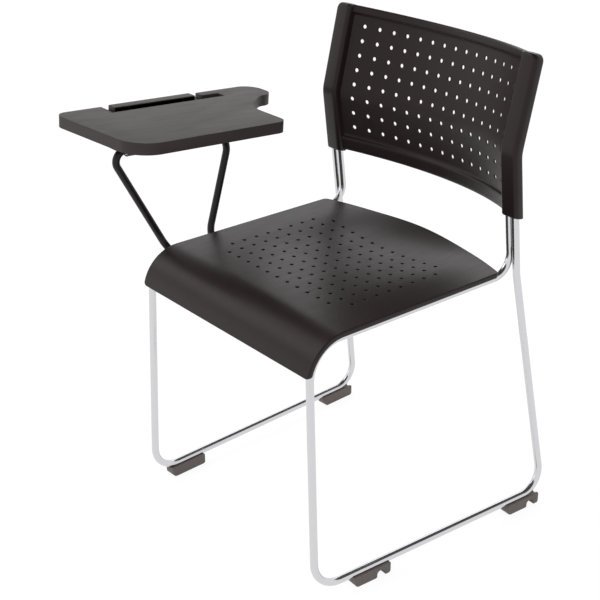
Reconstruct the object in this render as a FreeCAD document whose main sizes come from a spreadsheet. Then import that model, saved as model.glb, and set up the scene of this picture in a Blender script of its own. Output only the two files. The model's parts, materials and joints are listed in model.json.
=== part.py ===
import FreeCAD, Part
import math
import os
import Sketcher
from FreeCAD import Placement, Rotation, Vector

# Stacking chair on two bent rod side frames, with a perforated seat and back and a flip-up writing tablet.
# Millimetres. The floor is z = 0, the sitter faces -Y, and the tablet is on the sitter's right, at -X.

os.makedirs("parts", exist_ok=True)
doc = FreeCAD.newDocument("tablet_arm_chair")
sheet = doc.addObject("Spreadsheet::Sheet", "sizes")

sizes = {
    # side frames
    "rod_diameter": 12.7,
    "rod_gap": 0.4,
    "touch_gap": 0.3,
    "front_leg_reach": 250,
    "front_foot_reach": 253,
    "rear_leg_reach": 249,
    "front_foot_spread": 223.5,
    "rear_foot_spread": 250.7,
    "rail_spread": 204,
    "upright_spread": 219.1,
    "upright_base_reach": 177,
    "upright_top_reach": 152,
    "upright_top_height": 643,
    "knee_radius": 58,
    "front_floor_radius": 50,
    "rear_floor_radius": 40,
    "rail_rear_radius": 34,
    "upright_radius": 110,
    "weld_length": 26,
    "weld_width": 8,
    "weld_above_rail": 26,
    # crossbars and seat tabs
    "crossbar_drop": 19,
    "crossbar_run": 24,
    "crossbar_shoulder": 18,
    "crossbar_radius": 20,
    "front_crossbar_reach": 143,
    "rear_crossbar_reach": 122,
    "tab_length": 26,
    "tab_width": 22,
    "tab_thickness": 3,
    "front_tab_reach": 112,
    "rear_tab_reach": 88,
    "boss_diameter": 16,
    "seat_screw_diameter": 4,
    "seat_screw_grip": 6.5,
    "screw_gap": 0.1,
    "screw_head_diameter": 9,
    "screw_head_height": 2.4,
    # seat
    "seat_height": 458,
    "seat_width": 431,
    "seat_thickness": 6,
    "seat_gap": 0.6,
    "seat_rim_width": 2.4,
    "seat_rim_drop": 2.5,
    "seat_rear_corner": 139,
    "seat_rear_bulge": 38,
    "seat_rear_corner_radius": 7,
    "seat_overrun": 22,
    "dish_depth": 13,
    "seat_hole_diameter": 6,
    "hole_pitch": 25.4,
    "seat_field_front": 146,
    # back
    "back_kink_rise": 15.7,
    "back_lean": 13,
    "back_bow": 56,
    "back_panel_width": 392,
    "back_border": 7.5,
    "back_recess": 4,
    "back_upper_length": 155,
    "back_lower_drop": 107,
    "back_top_border": 14,
    "back_bottom_border": 26,
    "sleeve_width": 34,
    "sleeve_depth": 22,
    "sleeve_drop": 4,
    "sleeve_corner_radius": 7,
    "back_corner_radius": 12,
    "back_hole_diameter": 7,
    "back_row_above_kink": 20,
    "lower_row_pitch": 27,
    "cut_overrun": 5,
    "lock_screw_drop": 40,
    "lock_screw_diameter": 5,
    # feet
    "foot_length": 74,
    "foot_width": 20,
    "foot_height": 20,
    "sole_thickness": 16,
    "foot_corner_radius": 7,
    "plain_front_foot_reach": 184,
    "hooked_front_foot_reach": 142,
    "rear_foot_reach": 197,
    "hook_finger": 12,
    "hook_slot": 16,
    "hook_slot_height": 12,
    "hook_corner_radius": 4,
    "foot_pin_diameter": 5,
    "foot_pin_inset": 3,
    "foot_pin_offset": 12,
    # tablet and its support
    "tablet_centre_height": 653,
    "tablet_tilt": 3.8,
    "tablet_thickness": 20,
    "tablet_axis_side": 250,
    "tablet_axis_reach": 150,
    "tablet_outer_reach": 146.5,
    "tablet_inner_reach": 80.5,
    "tablet_front_outer": 160.5,
    "tablet_front_inner": 140.5,
    "tablet_rear_inner": 163,
    "tablet_ear_length": 94,
    "tablet_ear_width": 72,
    "tablet_neck": 59,
    "tablet_neck_run": 50,
    "front_outer_radius": 44,
    "front_inner_radius": 52,
    "rear_inner_radius": 18,
    "ear_outer_radius": 33,
    "ear_tip_radius": 25,
    "neck_radius": 24,
    "elbow_rest_radius": 60,
    "tablet_edge_bevel": 1.5,
    "groove_border": 20,
    "groove_width": 21,
    "groove_depth": 7,
    "groove_front": 69,
    "groove_length": 236,
    "notch_length": 15,
    "notch_inset": 3,
    "ledge_length": 168,
    "ledge_rise": 1.5,
    "mount_plate_length": 256,
    "mount_plate_width": 48,
    "mount_plate_thickness": 3,
    "mount_plate_front": 141,
    "mount_plate_corner": 5,
    "bush_wall": 2,
    "bush_fit": 0.05,
    "saddle_wall": 2.5,
    "saddle_length": 24,
    "saddle_flange": 12,
    "front_saddle_reach": 98,
    "rear_saddle_reach": 48,
    "tablet_screw_diameter": 4,
    "tablet_screw_grip": 11,
    "end_screw_side": 17,
    "end_screw_front": 120,
    "end_screw_rear": 100,
    "stop_plate_length": 60,
    "stop_plate_reach": 30,
    "stop_plate_thickness": 3,
    "support_front_lead": 143,
    "support_rear_lead": 102,
    "support_front_foot": 33,
    "support_rear_foot": 47,
    "support_bottom_radius": 33,
    "support_front_radius": 18,
    "support_rear_radius": 30,
    "support_end_inset": 75,
    "clamp_length": 112,
    "clamp_width": 24,
    "clamp_thickness": 6,
    "clamp_bite": 2,
    "outer_clamp_inset": 142,
    "inner_clamp_inset": 92,
    "bolt_diameter": 6,
    "bolt_head_corners": 11.5,
    "bolt_head_height": 4,
    "bolt_spacing": 40,
    "nut_height": 5,
}

for row, (alias, number) in enumerate(sizes.items(), 1):
    sheet.set(f"A{row}", alias)
    sheet.set(f"B{row}", str(number))
    sheet.setAlias(f"B{row}", alias)
doc.recompute()


class Length:
    # a size with its number and the expression that binds it to the sheet

    def __init__(self, number, text):
        self.number = number
        self.text = text

    def __add__(self, other):
        return Length(self.number + other.number, f"({self.text} + {other.text})")

    def __sub__(self, other):
        return Length(self.number - other.number, f"({self.text} - {other.text})")

    def __neg__(self):
        return Length(-self.number, f"(-1 * {self.text})")

    def __mul__(self, share):
        return Length(self.number * share, f"({self.text} * {share})")

    def __truediv__(self, share):
        return Length(self.number / share, f"({self.text} / {share})")


def size(alias):
    return Length(float(sheet.get(alias)), f"sizes.{alias}")


def number(alias):
    return float(sheet.get(alias))


zero = Length(0.0, "0")


def bind(thing, **lengths):
    for name, length in lengths.items():
        thing.setExpression(name, length.text)


# sketches and bodies

def new_body(label):
    body = doc.addObject("PartDesign::Body", label)
    body.Label = label
    return body


def new_sketch(body, name, plane):
    sketch = body.newObject("Sketcher::SketchObject", name)
    support = [item for item in body.Origin.OriginFeatures if item.Role == plane][0]
    sketch.AttachmentSupport = (support, "")
    sketch.MapMode = "FlatFace"
    return sketch


def pin_point(sketch, line, end, corner):
    # a corner is held by its two distances from the sketch's origin
    for kind, axis, distance in (("DistanceX", -2, corner[0]), ("DistanceY", -1, corner[1])):
        if distance is zero:
            sketch.addConstraint(Sketcher.Constraint("PointOnObject", line, end, axis))
            continue
        rule = sketch.addConstraint(Sketcher.Constraint(kind, -1, 1, line, end, distance.number))
        sketch.setExpression(f"Constraints[{rule}]", distance.text)


def draw_outline(sketch, corners):
    places = [Vector(corner[0].number, corner[1].number, 0) for corner in corners]
    lines = []
    for start, end in zip(places, places[1:] + places[:1]):
        lines.append(sketch.addGeometry(Part.LineSegment(start, end), False))
    for line, following in zip(lines, lines[1:] + lines[:1]):
        sketch.addConstraint(Sketcher.Constraint("Coincident", line, 2, following, 1))
    for line, corner in zip(lines, corners):
        pin_point(sketch, line, 1, corner)


def draw_rectangle(sketch, left, right, bottom, top):
    draw_outline(sketch, [(left, bottom), (right, bottom), (right, top), (left, top)])


def draw_circle(sketch, centre, radius):
    place = Vector(centre[0].number, centre[1].number, 0)
    circle = sketch.addGeometry(Part.Circle(place, Vector(0, 0, 1), radius.number), False)
    pin_point(sketch, circle, 3, centre)
    rule = sketch.addConstraint(Sketcher.Constraint("Radius", circle, radius.number))
    sketch.setExpression(f"Constraints[{rule}]", radius.text)


def pad(body, sketch, length, name, middle=False, back=False):
    feature = body.newObject("PartDesign::Pad", name)
    feature.Profile = sketch
    feature.Midplane = middle
    feature.Reversed = back
    bind(feature, Length=length)
    doc.recompute()
    return feature


def pocket(body, sketch, length, name, middle=False, back=False):
    before = body.Shape.Volume
    feature = body.newObject("PartDesign::Pocket", name)
    feature.Profile = sketch
    feature.Midplane = middle
    feature.Reversed = back
    bind(feature, Length=length)
    doc.recompute()
    if body.Shape.Volume >= before:
        raise RuntimeError(f"{name} of {body.Label} cuts nothing")
    return feature


def round_edges(body, base, edges, radius, name):
    feature = body.newObject("PartDesign::Fillet", name)
    feature.Base = (base, edges)
    bind(feature, Radius=radius)
    doc.recompute()
    return feature


# rods

def rounded_path(corners, radii):
    # straight runs joined by tangent arcs
    edges = []
    start = corners[0]
    for before, corner, after, radius in zip(corners, corners[1:], corners[2:], radii):
        toward_start = (before - corner).normalize()
        toward_end = (after - corner).normalize()
        half = toward_start.getAngle(toward_end) / 2
        reach = radius / math.tan(half)
        middle = (toward_start + toward_end).normalize()
        arc_start = corner + toward_start * reach
        arc_end = corner + toward_end * reach
        arc_middle = corner + middle * (radius / math.sin(half) - radius)
        edges.append(Part.LineSegment(start, arc_start).toShape())
        edges.append(Part.Arc(arc_start, arc_middle, arc_end).toShape())
        start = arc_end
    edges.append(Part.LineSegment(start, corners[-1]).toShape())
    return Part.Wire(edges)


def bent_rod(label, corners, radii, diameter):
    path = doc.addObject("Part::Feature", f"{label}_path")
    path.Shape = rounded_path(corners, radii)
    section = doc.addObject("Part::Circle", f"{label}_section")
    bind(section, Radius=diameter / 2)
    section.Placement = Placement(corners[0], Rotation(Vector(0, 0, 1), corners[1] - corners[0]))
    rod = doc.addObject("Part::Sweep", label)
    rod.Sections = [section]
    rod.Spine = (path, [f"Edge{index + 1}" for index in range(len(path.Shape.Edges))])
    rod.Solid = True
    rod.Frenet = False
    rod.Label = label
    return rod


rod_radius = number("rod_diameter") / 2
runner_height = number("sole_thickness") + rod_radius
rail_height = number("seat_height") - number("seat_thickness") - number("seat_gap") - rod_radius
inner_spread = number("upright_spread") - number("rod_diameter") - number("rod_gap")
side_frames = []
for side, sign in (("left", 1), ("right", -1)):
    corners = [
        Vector(sign * inner_spread, number("upright_top_reach"), number("upright_top_height")),
        Vector(sign * inner_spread, number("upright_base_reach"), rail_height),
        Vector(sign * number("rail_spread"), -number("front_leg_reach"), rail_height),
        Vector(sign * number("front_foot_spread"), -number("front_foot_reach"), runner_height),
        Vector(sign * number("rear_foot_spread"), number("rear_leg_reach"), runner_height),
        Vector(sign * number("upright_spread"), number("upright_base_reach"), rail_height),
        Vector(sign * number("upright_spread"), number("upright_top_reach"), number("upright_top_height")),
    ]
    bends = ("rail_rear_radius", "knee_radius", "front_floor_radius", "rear_floor_radius", "upright_radius")
    radii = [number(bend) for bend in bends]
    side_frames.append(bent_rod(f"{side}_side_rod_blank", corners, radii, size("rod_diameter")))


def cut(label, base, tool):
    feature = doc.addObject("Part::Cut", label)
    feature.Base = base
    feature.Tool = tool
    feature.Label = label
    return feature


def cut_each(label, base, tools):
    for index, tool in enumerate(tools[:-1]):
        base = cut(f"{label}_stage_{index}", base, tool)
    return cut(label, base, tools[-1])


def fuse(label, pieces):
    feature = doc.addObject("Part::MultiFuse", label)
    feature.Shapes = pieces
    feature.Label = label
    return feature


def group(label, pieces):
    feature = doc.addObject("Part::Compound", label)
    feature.Links = pieces
    feature.Label = label
    return feature


def shape_feature(label, shape):
    feature = doc.addObject("Part::Feature", label)
    feature.Shape = shape
    feature.Label = label
    return feature


def cylinder(name, diameter, height, place):
    feature = doc.addObject("Part::Cylinder", name)
    bind(feature, Radius=diameter / 2, Height=height)
    feature.Placement = place
    return feature


def box(name, length, width, height, place):
    feature = doc.addObject("Part::Box", name)
    bind(feature, Length=length, Width=width, Height=height)
    feature.Placement = place
    return feature


def eight_sided(centre, along, across, diameter):
    # a small eight-sided bar for one perforation, as wide across its flats as the diameter
    up = along.cross(across).normalize()
    sides = 8
    reach = diameter / 2 / math.cos(math.pi / sides)
    points = []
    for corner in range(sides):
        angle = math.tau * (corner + 0.5) / sides
        points.append(centre + across * (reach * math.cos(angle)) + up * (reach * math.sin(angle)))
    return Part.Face(Part.makePolygon(points + points[:1])).extrude(along)


# welds where the two ends of each side rod stand together
upright_line = Vector(0, number("upright_top_reach") - number("upright_base_reach"),
                      number("upright_top_height") - rail_height).normalize()
upright_turn = Rotation(Vector(0, 0, 1), upright_line)
weld_height = rail_height + number("weld_above_rail")
weld_middle = Vector(0, number("upright_base_reach"), rail_height)
weld_middle += upright_line * (number("weld_above_rail") / upright_line.z)
for rod, side, sign in zip(side_frames, ("left", "right"), (1, -1)):
    middle_spread = (number("upright_spread") + inner_spread) / 2
    corner = weld_middle + Vector(sign * middle_spread, 0, 0)
    corner -= upright_turn.multVec(Vector(number("weld_width"), number("weld_width"), 0) / 2)
    block = box(f"{side}_weld_block", size("weld_width"), size("weld_width"), size("weld_length"),
                Placement(corner, upright_turn))
    cut(f"{side}_upright_weld", block, rod)

# crossbars, bent down in the middle to clear the dished seat
crossbars = []
for place, reach in (("front", -number("front_crossbar_reach")), ("rear", number("rear_crossbar_reach"))):
    shoulder = number("rail_spread") - number("crossbar_shoulder")
    low = rail_height - number("crossbar_drop")
    floor_start = shoulder - number("crossbar_run")
    corners = [
        Vector(number("rail_spread"), reach, rail_height),
        Vector(shoulder, reach, rail_height),
        Vector(floor_start, reach, low),
        Vector(-floor_start, reach, low),
        Vector(-shoulder, reach, rail_height),
        Vector(-number("rail_spread"), reach, rail_height),
    ]
    radii = [number("crossbar_radius") for bend in corners[1:-1]]
    bar = bent_rod(f"{place}_crossbar_blank", corners, radii, size("rod_diameter"))
    crossbars.append((place, bar))
rail_tools = group("rail_tools", side_frames)
for place, bar in crossbars:
    cut(f"{place}_crossbar", bar, rail_tools)

# seat tabs on the rails, each with a screw up into a boss of the seat
tab_bottom = rail_height - number("tab_thickness") / 2
tab_middle = number("rail_spread") - rod_radius - number("tab_length") / 2
boss_tools = []
boss_holes = []
screws = []
for end, reach in (("front", -number("front_tab_reach")), ("rear", number("rear_tab_reach"))):
    for side, sign in (("left", 1), ("right", -1)):
        near_side = sorted((sign * (tab_middle - number("tab_length") / 2), sign * number("rail_spread")))[0]
        corner = Vector(near_side, reach - number("tab_width") / 2, tab_bottom)
        blank = box(f"{end}_{side}_tab_blank", size("tab_length") + size("rod_diameter") / 2,
                    size("tab_width"), size("tab_thickness"), Placement(corner, Rotation()))
        screw_line = Vector(sign * tab_middle, reach, tab_bottom)
        hole_place = Placement(screw_line - Vector(0, 0, number("cut_overrun")), Rotation())
        hole = cylinder(f"{end}_{side}_tab_hole", size("seat_screw_diameter") + size("screw_gap") * 2,
                        size("tab_thickness") + size("cut_overrun") * 2, hole_place)
        tools = group(f"{end}_{side}_tab_tools", [side_frames[0 if sign > 0 else 1], hole])
        cut(f"{end}_{side}_seat_tab", blank, tools)
        head_place = Placement(screw_line - Vector(0, 0, number("screw_head_height")), Rotation())
        head = cylinder(f"{end}_{side}_screw_head", size("screw_head_diameter"), size("screw_head_height"),
                        head_place)
        shank = cylinder(f"{end}_{side}_screw_shank", size("seat_screw_diameter"),
                         size("tab_thickness") + size("seat_screw_grip"), Placement(screw_line, Rotation()))
        screws.append(fuse(f"{end}_{side}_seat_screw", [head, shank]))
        boss_place = Placement(screw_line + Vector(0, 0, number("tab_thickness")), Rotation())
        boss_height = size("rod_diameter") / 2 + size("seat_gap") + size("seat_thickness") / 2
        boss_height = boss_height - size("tab_thickness") / 2
        boss_tools.append(cylinder(f"{end}_{side}_boss", size("boss_diameter"), boss_height, boss_place))
        boss_holes.append(cylinder(f"{end}_{side}_boss_hole", size("seat_screw_diameter") + size("screw_gap") * 2,
                                   size("seat_screw_grip") + size("screw_gap"), boss_place))
group("seat_screws", screws)

# seat shell: a lofted pan with a rounded fall at the front
# shares of the half width and of the dish depth across the seat
cross_shares = ((-1, 0), (-0.7, 0.12), (-0.35, 0.72), (0, 1), (0.35, 0.72), (0.7, 0.12), (1, 0))
# shares of the flat length from the crown to the rear end, and of the dish depth
dish_shares = (
    (0.03, 0), (0.12, 0.04), (0.26, 0.2), (0.42, 0.55), (0.58, 0.87), (0.72, 1), (0.83, 0.75), (0.92, 0.1),
    (1, -0.85),
)
# shares of the quarter turn over the front edge
fall_shares = (0.88, 0.76, 0.6, 0.44, 0.28, 0.14, 0.05)


def seat_section(along, up, depth):
    half = number("seat_width") / 2
    place = Vector(0, along.x, along.y)
    normal = Vector(0, up.x, up.y)
    inner_half = half - number("seat_rim_width")
    rim_height = number("seat_thickness") + number("seat_rim_drop")
    top = []
    bottom = []
    for share, fall in cross_shares:
        sunk = place - normal * (depth * fall)
        top.append(sunk + Vector(share * half, 0, 0))
        bottom.append(sunk + Vector(share * inner_half, 0, 0) - normal * number("seat_thickness"))
    top_curve = Part.BSplineCurve()
    top_curve.interpolate(top)
    bottom_curve = Part.BSplineCurve()
    bottom_curve.interpolate(bottom[::-1])
    # the rim along each side hangs a little below the pan
    right_rim = [top[-1], top[-1] - normal * rim_height]
    right_rim += [right_rim[-1] - Vector(number("seat_rim_width"), 0, 0), bottom[-1]]
    left_rim = [bottom[0], top[0] + Vector(number("seat_rim_width"), 0, 0) - normal * rim_height]
    left_rim += [top[0] - normal * rim_height, top[0]]
    edges = [top_curve.toShape()]
    edges += Part.makePolygon(right_rim).Edges
    edges.append(bottom_curve.toShape())
    edges += Part.makePolygon(left_rim).Edges
    return Part.Wire(edges)


knee_reach = -number("front_leg_reach") + number("knee_radius")
knee_centre = Vector(knee_reach, rail_height - number("knee_radius"), 0)
fall_radius = number("seat_height") - knee_centre.y
seat_rear = number("seat_rear_corner") + number("seat_rear_bulge") + number("seat_overrun")
flat_length = seat_rear - knee_centre.x
sections = []
for share in fall_shares:
    angle = share * math.pi / 2
    up = Vector(-math.sin(angle), math.cos(angle), 0)
    sections.append(seat_section(knee_centre + up * fall_radius, up, 0))
sections.append(seat_section(knee_centre + Vector(0, fall_radius, 0), Vector(0, 1, 0), 0))
for run, share in dish_shares:
    along = knee_centre + Vector(run * flat_length, fall_radius, 0)
    sections.append(seat_section(along, Vector(0, 1, 0), share * number("dish_depth")))
seat_wires = [shape_feature(f"seat_section_{index}", wire) for index, wire in enumerate(sections)]
seat_blank = doc.addObject("Part::Loft", "seat_blank")
seat_blank.Sections = seat_wires
seat_blank.Solid = True
seat_blank.Ruled = False

# the pan is trimmed at the rear to a bowed edge with rounded corners
half_seat = number("seat_width") / 2
rear_corner = number("seat_rear_corner")
corner_radius = number("seat_rear_corner_radius")
bulge = number("seat_rear_bulge")
bow_radius = (half_seat ** 2 + bulge ** 2) / (2 * bulge)
bow_centre = Vector(0, rear_corner + bulge - bow_radius, 0)
# a corner circle touches the side line and the bow from inside
corner_x = half_seat - corner_radius
corner_y = bow_centre.y + math.sqrt((bow_radius - corner_radius) ** 2 - corner_x ** 2)
touch = Vector(corner_x, corner_y, 0) - bow_centre
touch = bow_centre + touch * (bow_radius / touch.Length)
slant = Vector(corner_x, corner_y, 0) + (Vector(half_seat, corner_y, 0) + touch - Vector(corner_x, corner_y, 0) * 2
                                         ).normalize() * corner_radius
side_end = Vector(half_seat, corner_y, 0)
mirrored = [Vector(-point.x, point.y, 0) for point in (side_end, slant, touch)]
behind = seat_rear + number("cut_overrun")
outside = half_seat + number("cut_overrun")
trim_wire = Part.Wire([
    Part.Arc(side_end, slant, touch).toShape(),
    Part.Arc(touch, Vector(0, rear_corner + bulge, 0), mirrored[2]).toShape(),
    Part.Arc(mirrored[2], mirrored[1], mirrored[0]).toShape(),
    Part.LineSegment(mirrored[0], Vector(-outside, corner_y, 0)).toShape(),
    Part.LineSegment(Vector(-outside, corner_y, 0), Vector(-outside, behind, 0)).toShape(),
    Part.LineSegment(Vector(-outside, behind, 0), Vector(outside, behind, 0)).toShape(),
    Part.LineSegment(Vector(outside, behind, 0), Vector(outside, corner_y, 0)).toShape(),
    Part.LineSegment(Vector(outside, corner_y, 0), side_end).toShape(),
])
trim_face = Part.Face(trim_wire)
trim_face.translate(Vector(0, 0, rail_height - number("dish_depth")))
trim_height = number("seat_height") + number("dish_depth") - trim_face.BoundBox.ZMin + number("cut_overrun")
trim = shape_feature("seat_rear_trim", trim_face.extrude(Vector(0, 0, trim_height)))

# the perforations of the seat stand straight up and down, on a square grid without its four corners
seat_columns = 13
seat_rows = 10
seat_hole_shapes = []
hole_bottom = number("seat_height") - number("dish_depth") - number("seat_thickness") - number("cut_overrun")
hole_top = number("seat_height") + number("dish_depth") + number("cut_overrun")
for row in range(seat_rows):
    for column in range(seat_columns):
        if row in (0, seat_rows - 1) and column in (0, seat_columns - 1):
            continue
        x = (column - (seat_columns - 1) / 2) * number("hole_pitch")
        y = row * number("hole_pitch") - number("seat_field_front")
        start = Vector(x, y, hole_bottom)
        upward = Vector(0, 0, hole_top - hole_bottom)
        seat_hole_shapes.append(eight_sided(start, upward, Vector(1, 0, 0), number("seat_hole_diameter")))
seat_holes = shape_feature("seat_perforations", Part.makeCompound(seat_hole_shapes))
seat_with_bosses = fuse("seat_with_bosses", [seat_blank] + boss_tools)
boss_bores = group("boss_bores", boss_holes)
cut_each("seat_shell", seat_with_bosses, [trim, boss_bores, seat_holes])

# back shell: one bowed section carried up both slopes of the back, and a sleeve over each pair of rods
lean = math.radians(number("back_lean"))
up_slope = Vector(0, math.sin(lean), math.cos(lean))
rearward = Vector(0, math.cos(lean), -math.sin(lean))
kink = Vector(0, number("upright_top_reach"), number("upright_top_height"))
kink += upright_line * (number("back_kink_rise") / upright_line.z)
down_slope = upright_line * (-1 / upright_line.z)
sleeve_inner = number("back_panel_width") / 2
panel_radius = (sleeve_inner ** 2 + number("back_bow") ** 2) / (2 * number("back_bow"))


def back_point(x, depth, base):
    return base + Vector(x, 0, 0) + rearward * depth


def bowed_band(half, near, far, base):
    # a band between two concentric bows, near and far behind the front face
    edges = []
    ends = []
    for offset in (near, far):
        radius = panel_radius + offset
        centre = number("back_bow") - panel_radius
        side = centre + math.sqrt(radius ** 2 - half ** 2)
        left = back_point(-half, side, base)
        right = back_point(half, side, base)
        edges.append(Part.Arc(left, back_point(0, centre + radius, base), right).toShape())
        ends.append((left, right))
    edges.append(Part.LineSegment(ends[0][0], ends[1][0]).toShape())
    edges.append(Part.LineSegment(ends[0][1], ends[1][1]).toShape())
    return Part.Face(Part.Wire(Part.__sortEdges__(edges)))


def rounded_rectangle(left, right, front, rear, radius, base):
    corners = [(left, front), (right, front), (right, rear), (left, rear)]
    centres = [(left + radius, front + radius), (right - radius, front + radius),
               (right - radius, rear - radius), (left + radius, rear - radius)]
    turns = (225, 315, 45, 135)
    arcs = []
    for centre, turn in zip(centres, turns):
        points = []
        for step in (-45, 0, 45):
            angle = math.radians(turn + step)
            x = centre[0] + radius * math.cos(angle)
            points.append(back_point(x, centre[1] + radius * math.sin(angle), base))
        arcs.append(Part.Arc(*points))
    edges = []
    for arc, following in zip(arcs, arcs[1:] + arcs[:1]):
        edges.append(arc.toShape())
        edges.append(Part.LineSegment(arc.EndPoint, following.StartPoint).toShape())
    return Part.Face(Part.Wire(edges))


def carried(name, face, direction, length):
    base = shape_feature(f"{name}_section", face)
    run = doc.addObject("Part::Extrusion", name)
    run.Base = base
    run.DirMode = "Custom"
    run.Dir = direction
    run.Solid = True
    run.LengthFwd = length
    return run


down_scale = down_slope.Length
overlap = number("sleeve_corner_radius")
back_pieces = []
recess_tools = []
panel_face = bowed_band(sleeve_inner + overlap, 0, number("back_border"), kink)
recess_face = bowed_band(sleeve_inner, -number("cut_overrun"), number("back_recess"), kink)
for name, direction, panel_run, sleeve_run, border in (
    ("back_upper", up_slope, number("back_upper_length"), number("back_upper_length"), number("back_top_border")),
    ("back_lower", down_slope, number("back_lower_drop") * down_scale,
     (number("back_lower_drop") + number("sleeve_drop")) * down_scale, number("back_bottom_border") * down_scale),
):
    back_pieces.append(carried(f"{name}_panel", panel_face, direction, panel_run))
    recess_tools.append(carried(f"{name}_recess", recess_face, direction, panel_run - border))
    for side, sign in (("left", 1), ("right", -1)):
        outer = sleeve_inner + number("sleeve_width")
        edges = sorted((sign * sleeve_inner, sign * outer))
        half_depth = number("sleeve_depth") / 2
        sleeve_face = rounded_rectangle(edges[0], edges[1], -half_depth, half_depth,
                                        number("sleeve_corner_radius"), kink)
        back_pieces.append(carried(f"{name}_{side}_sleeve", sleeve_face, direction, sleeve_run))
back_blank = fuse("back_blank", back_pieces)

# the bores that take the rods, blind just above the rod ends
bore_shapes = []
bore_radius = rod_radius + number("touch_gap")
sleeve_bottom = kink.z - number("back_lower_drop") - number("sleeve_drop")
for sign in (1, -1):
    for spread in (inner_spread, number("upright_spread")):
        top = Vector(sign * spread, number("upright_top_reach"), number("upright_top_height"))
        top += upright_line * number("touch_gap")
        depth = number("upright_top_height") - sleeve_bottom + number("sleeve_depth")
        bore_shapes.append(Part.makeCylinder(bore_radius, depth, top, upright_line * -1))
bores = shape_feature("back_bores", Part.makeCompound(bore_shapes))

# the perforations of the back all run fore and aft
back_columns = 15
upper_rows = 5
lower_rows = 3
back_hole_shapes = []
first_row = number("back_row_above_kink")
hole_length = number("back_bow") + number("back_border") + number("cut_overrun")
rows = [up_slope * (first_row + number("hole_pitch") * index) for index in range(upper_rows)]
first_lower_row = number("hole_pitch") - first_row
rows += [down_slope * (first_lower_row + number("lower_row_pitch") * index) for index in range(lower_rows)]
for rise in rows:
    for column in range(back_columns):
        x = (column - (back_columns - 1) / 2) * number("hole_pitch")
        start = back_point(x, 0, kink + rise)
        back_hole_shapes.append(eight_sided(start, rearward * hole_length, Vector(1, 0, 0),
                                            number("back_hole_diameter")))
back_holes = shape_feature("back_perforations", Part.makeCompound(back_hole_shapes))

# the two top corners are rounded off
corner_tools = []
top_line = kink + up_slope * number("back_upper_length")
half_back = sleeve_inner + number("sleeve_width")
for sign in (1, -1):
    radius = number("back_corner_radius")
    far = -number("sleeve_depth")
    square = [top_line + Vector(sign * (half_back + across), 0, 0) + up_slope * rise + rearward * far
              for across, rise in ((-radius, -radius), (radius, -radius), (radius, radius), (-radius, radius))]
    block = Part.Face(Part.makePolygon(square + square[:1])).extrude(rearward * number("sleeve_depth") * 2)
    pivot = top_line + Vector(sign * (half_back - radius), 0, 0) - up_slope * radius + rearward * far
    round_bar = Part.makeCylinder(radius, number("sleeve_depth") * 2, pivot, rearward)
    corner_tools.append(block.cut(round_bar))
corners_cut = shape_feature("back_corner_tools", Part.makeCompound(corner_tools))

# the screws that lock the back onto the inner rods, driven in from behind
wall_normal = Vector(0, upright_line.z, -upright_line.y)
wall_share = rearward.dot(wall_normal)
wall_distance = size("sleeve_depth") / 2 * wall_share
lock_screws = []
lock_holes = []
for side, sign in (("left", 1), ("right", -1)):
    middle = Vector(sign * inner_spread, number("upright_top_reach"), number("upright_top_height"))
    middle -= upright_line * (number("lock_screw_drop") / upright_line.z)
    turn = Rotation(Vector(0, 0, 1), wall_normal)
    rod_face = size("rod_diameter") / 2 + size("touch_gap")
    shank = cylinder(f"{side}_lock_shank", size("lock_screw_diameter"), wall_distance - rod_face,
                     Placement(middle + wall_normal * rod_face.number, turn))
    head = cylinder(f"{side}_lock_head", size("screw_head_diameter"), size("screw_head_height"),
                    Placement(middle + wall_normal * wall_distance.number, turn))
    lock_screws.append(fuse(f"{side}_lock_screw", [shank, head]))
    lock_holes.append(cylinder(f"{side}_lock_hole", size("lock_screw_diameter") + size("screw_gap") * 2,
                               size("sleeve_depth"), Placement(middle, turn)))
group("back_lock_screws", lock_screws)
cut_each("back_shell", back_blank, recess_tools + [bores, corners_cut] + lock_holes + [back_holes])

# feet: a sole under each runner, and on the left a hook that takes the next chair's runner
reach_of_runner = number("front_foot_reach") + number("rear_leg_reach")
splay_share = (number("rear_foot_spread") - number("front_foot_spread")) / reach_of_runner
splay = math.degrees(math.atan(splay_share))


def edges_along(shape, axis, first, second):
    # straight edges along one axis, at one place in the two others
    others = [position for position in range(3) if position != axis]
    found = []
    for index, edge in enumerate(shape.Edges, 1):
        ends = [tuple(vertex.Point) for vertex in edge.Vertexes]
        near = [math.isclose(end[others[0]], first, abs_tol=1e-3)
                and math.isclose(end[others[1]], second, abs_tol=1e-3) for end in ends]
        if len(ends) == 2 and all(near):
            found.append(f"Edge{index}")
    return found


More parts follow.
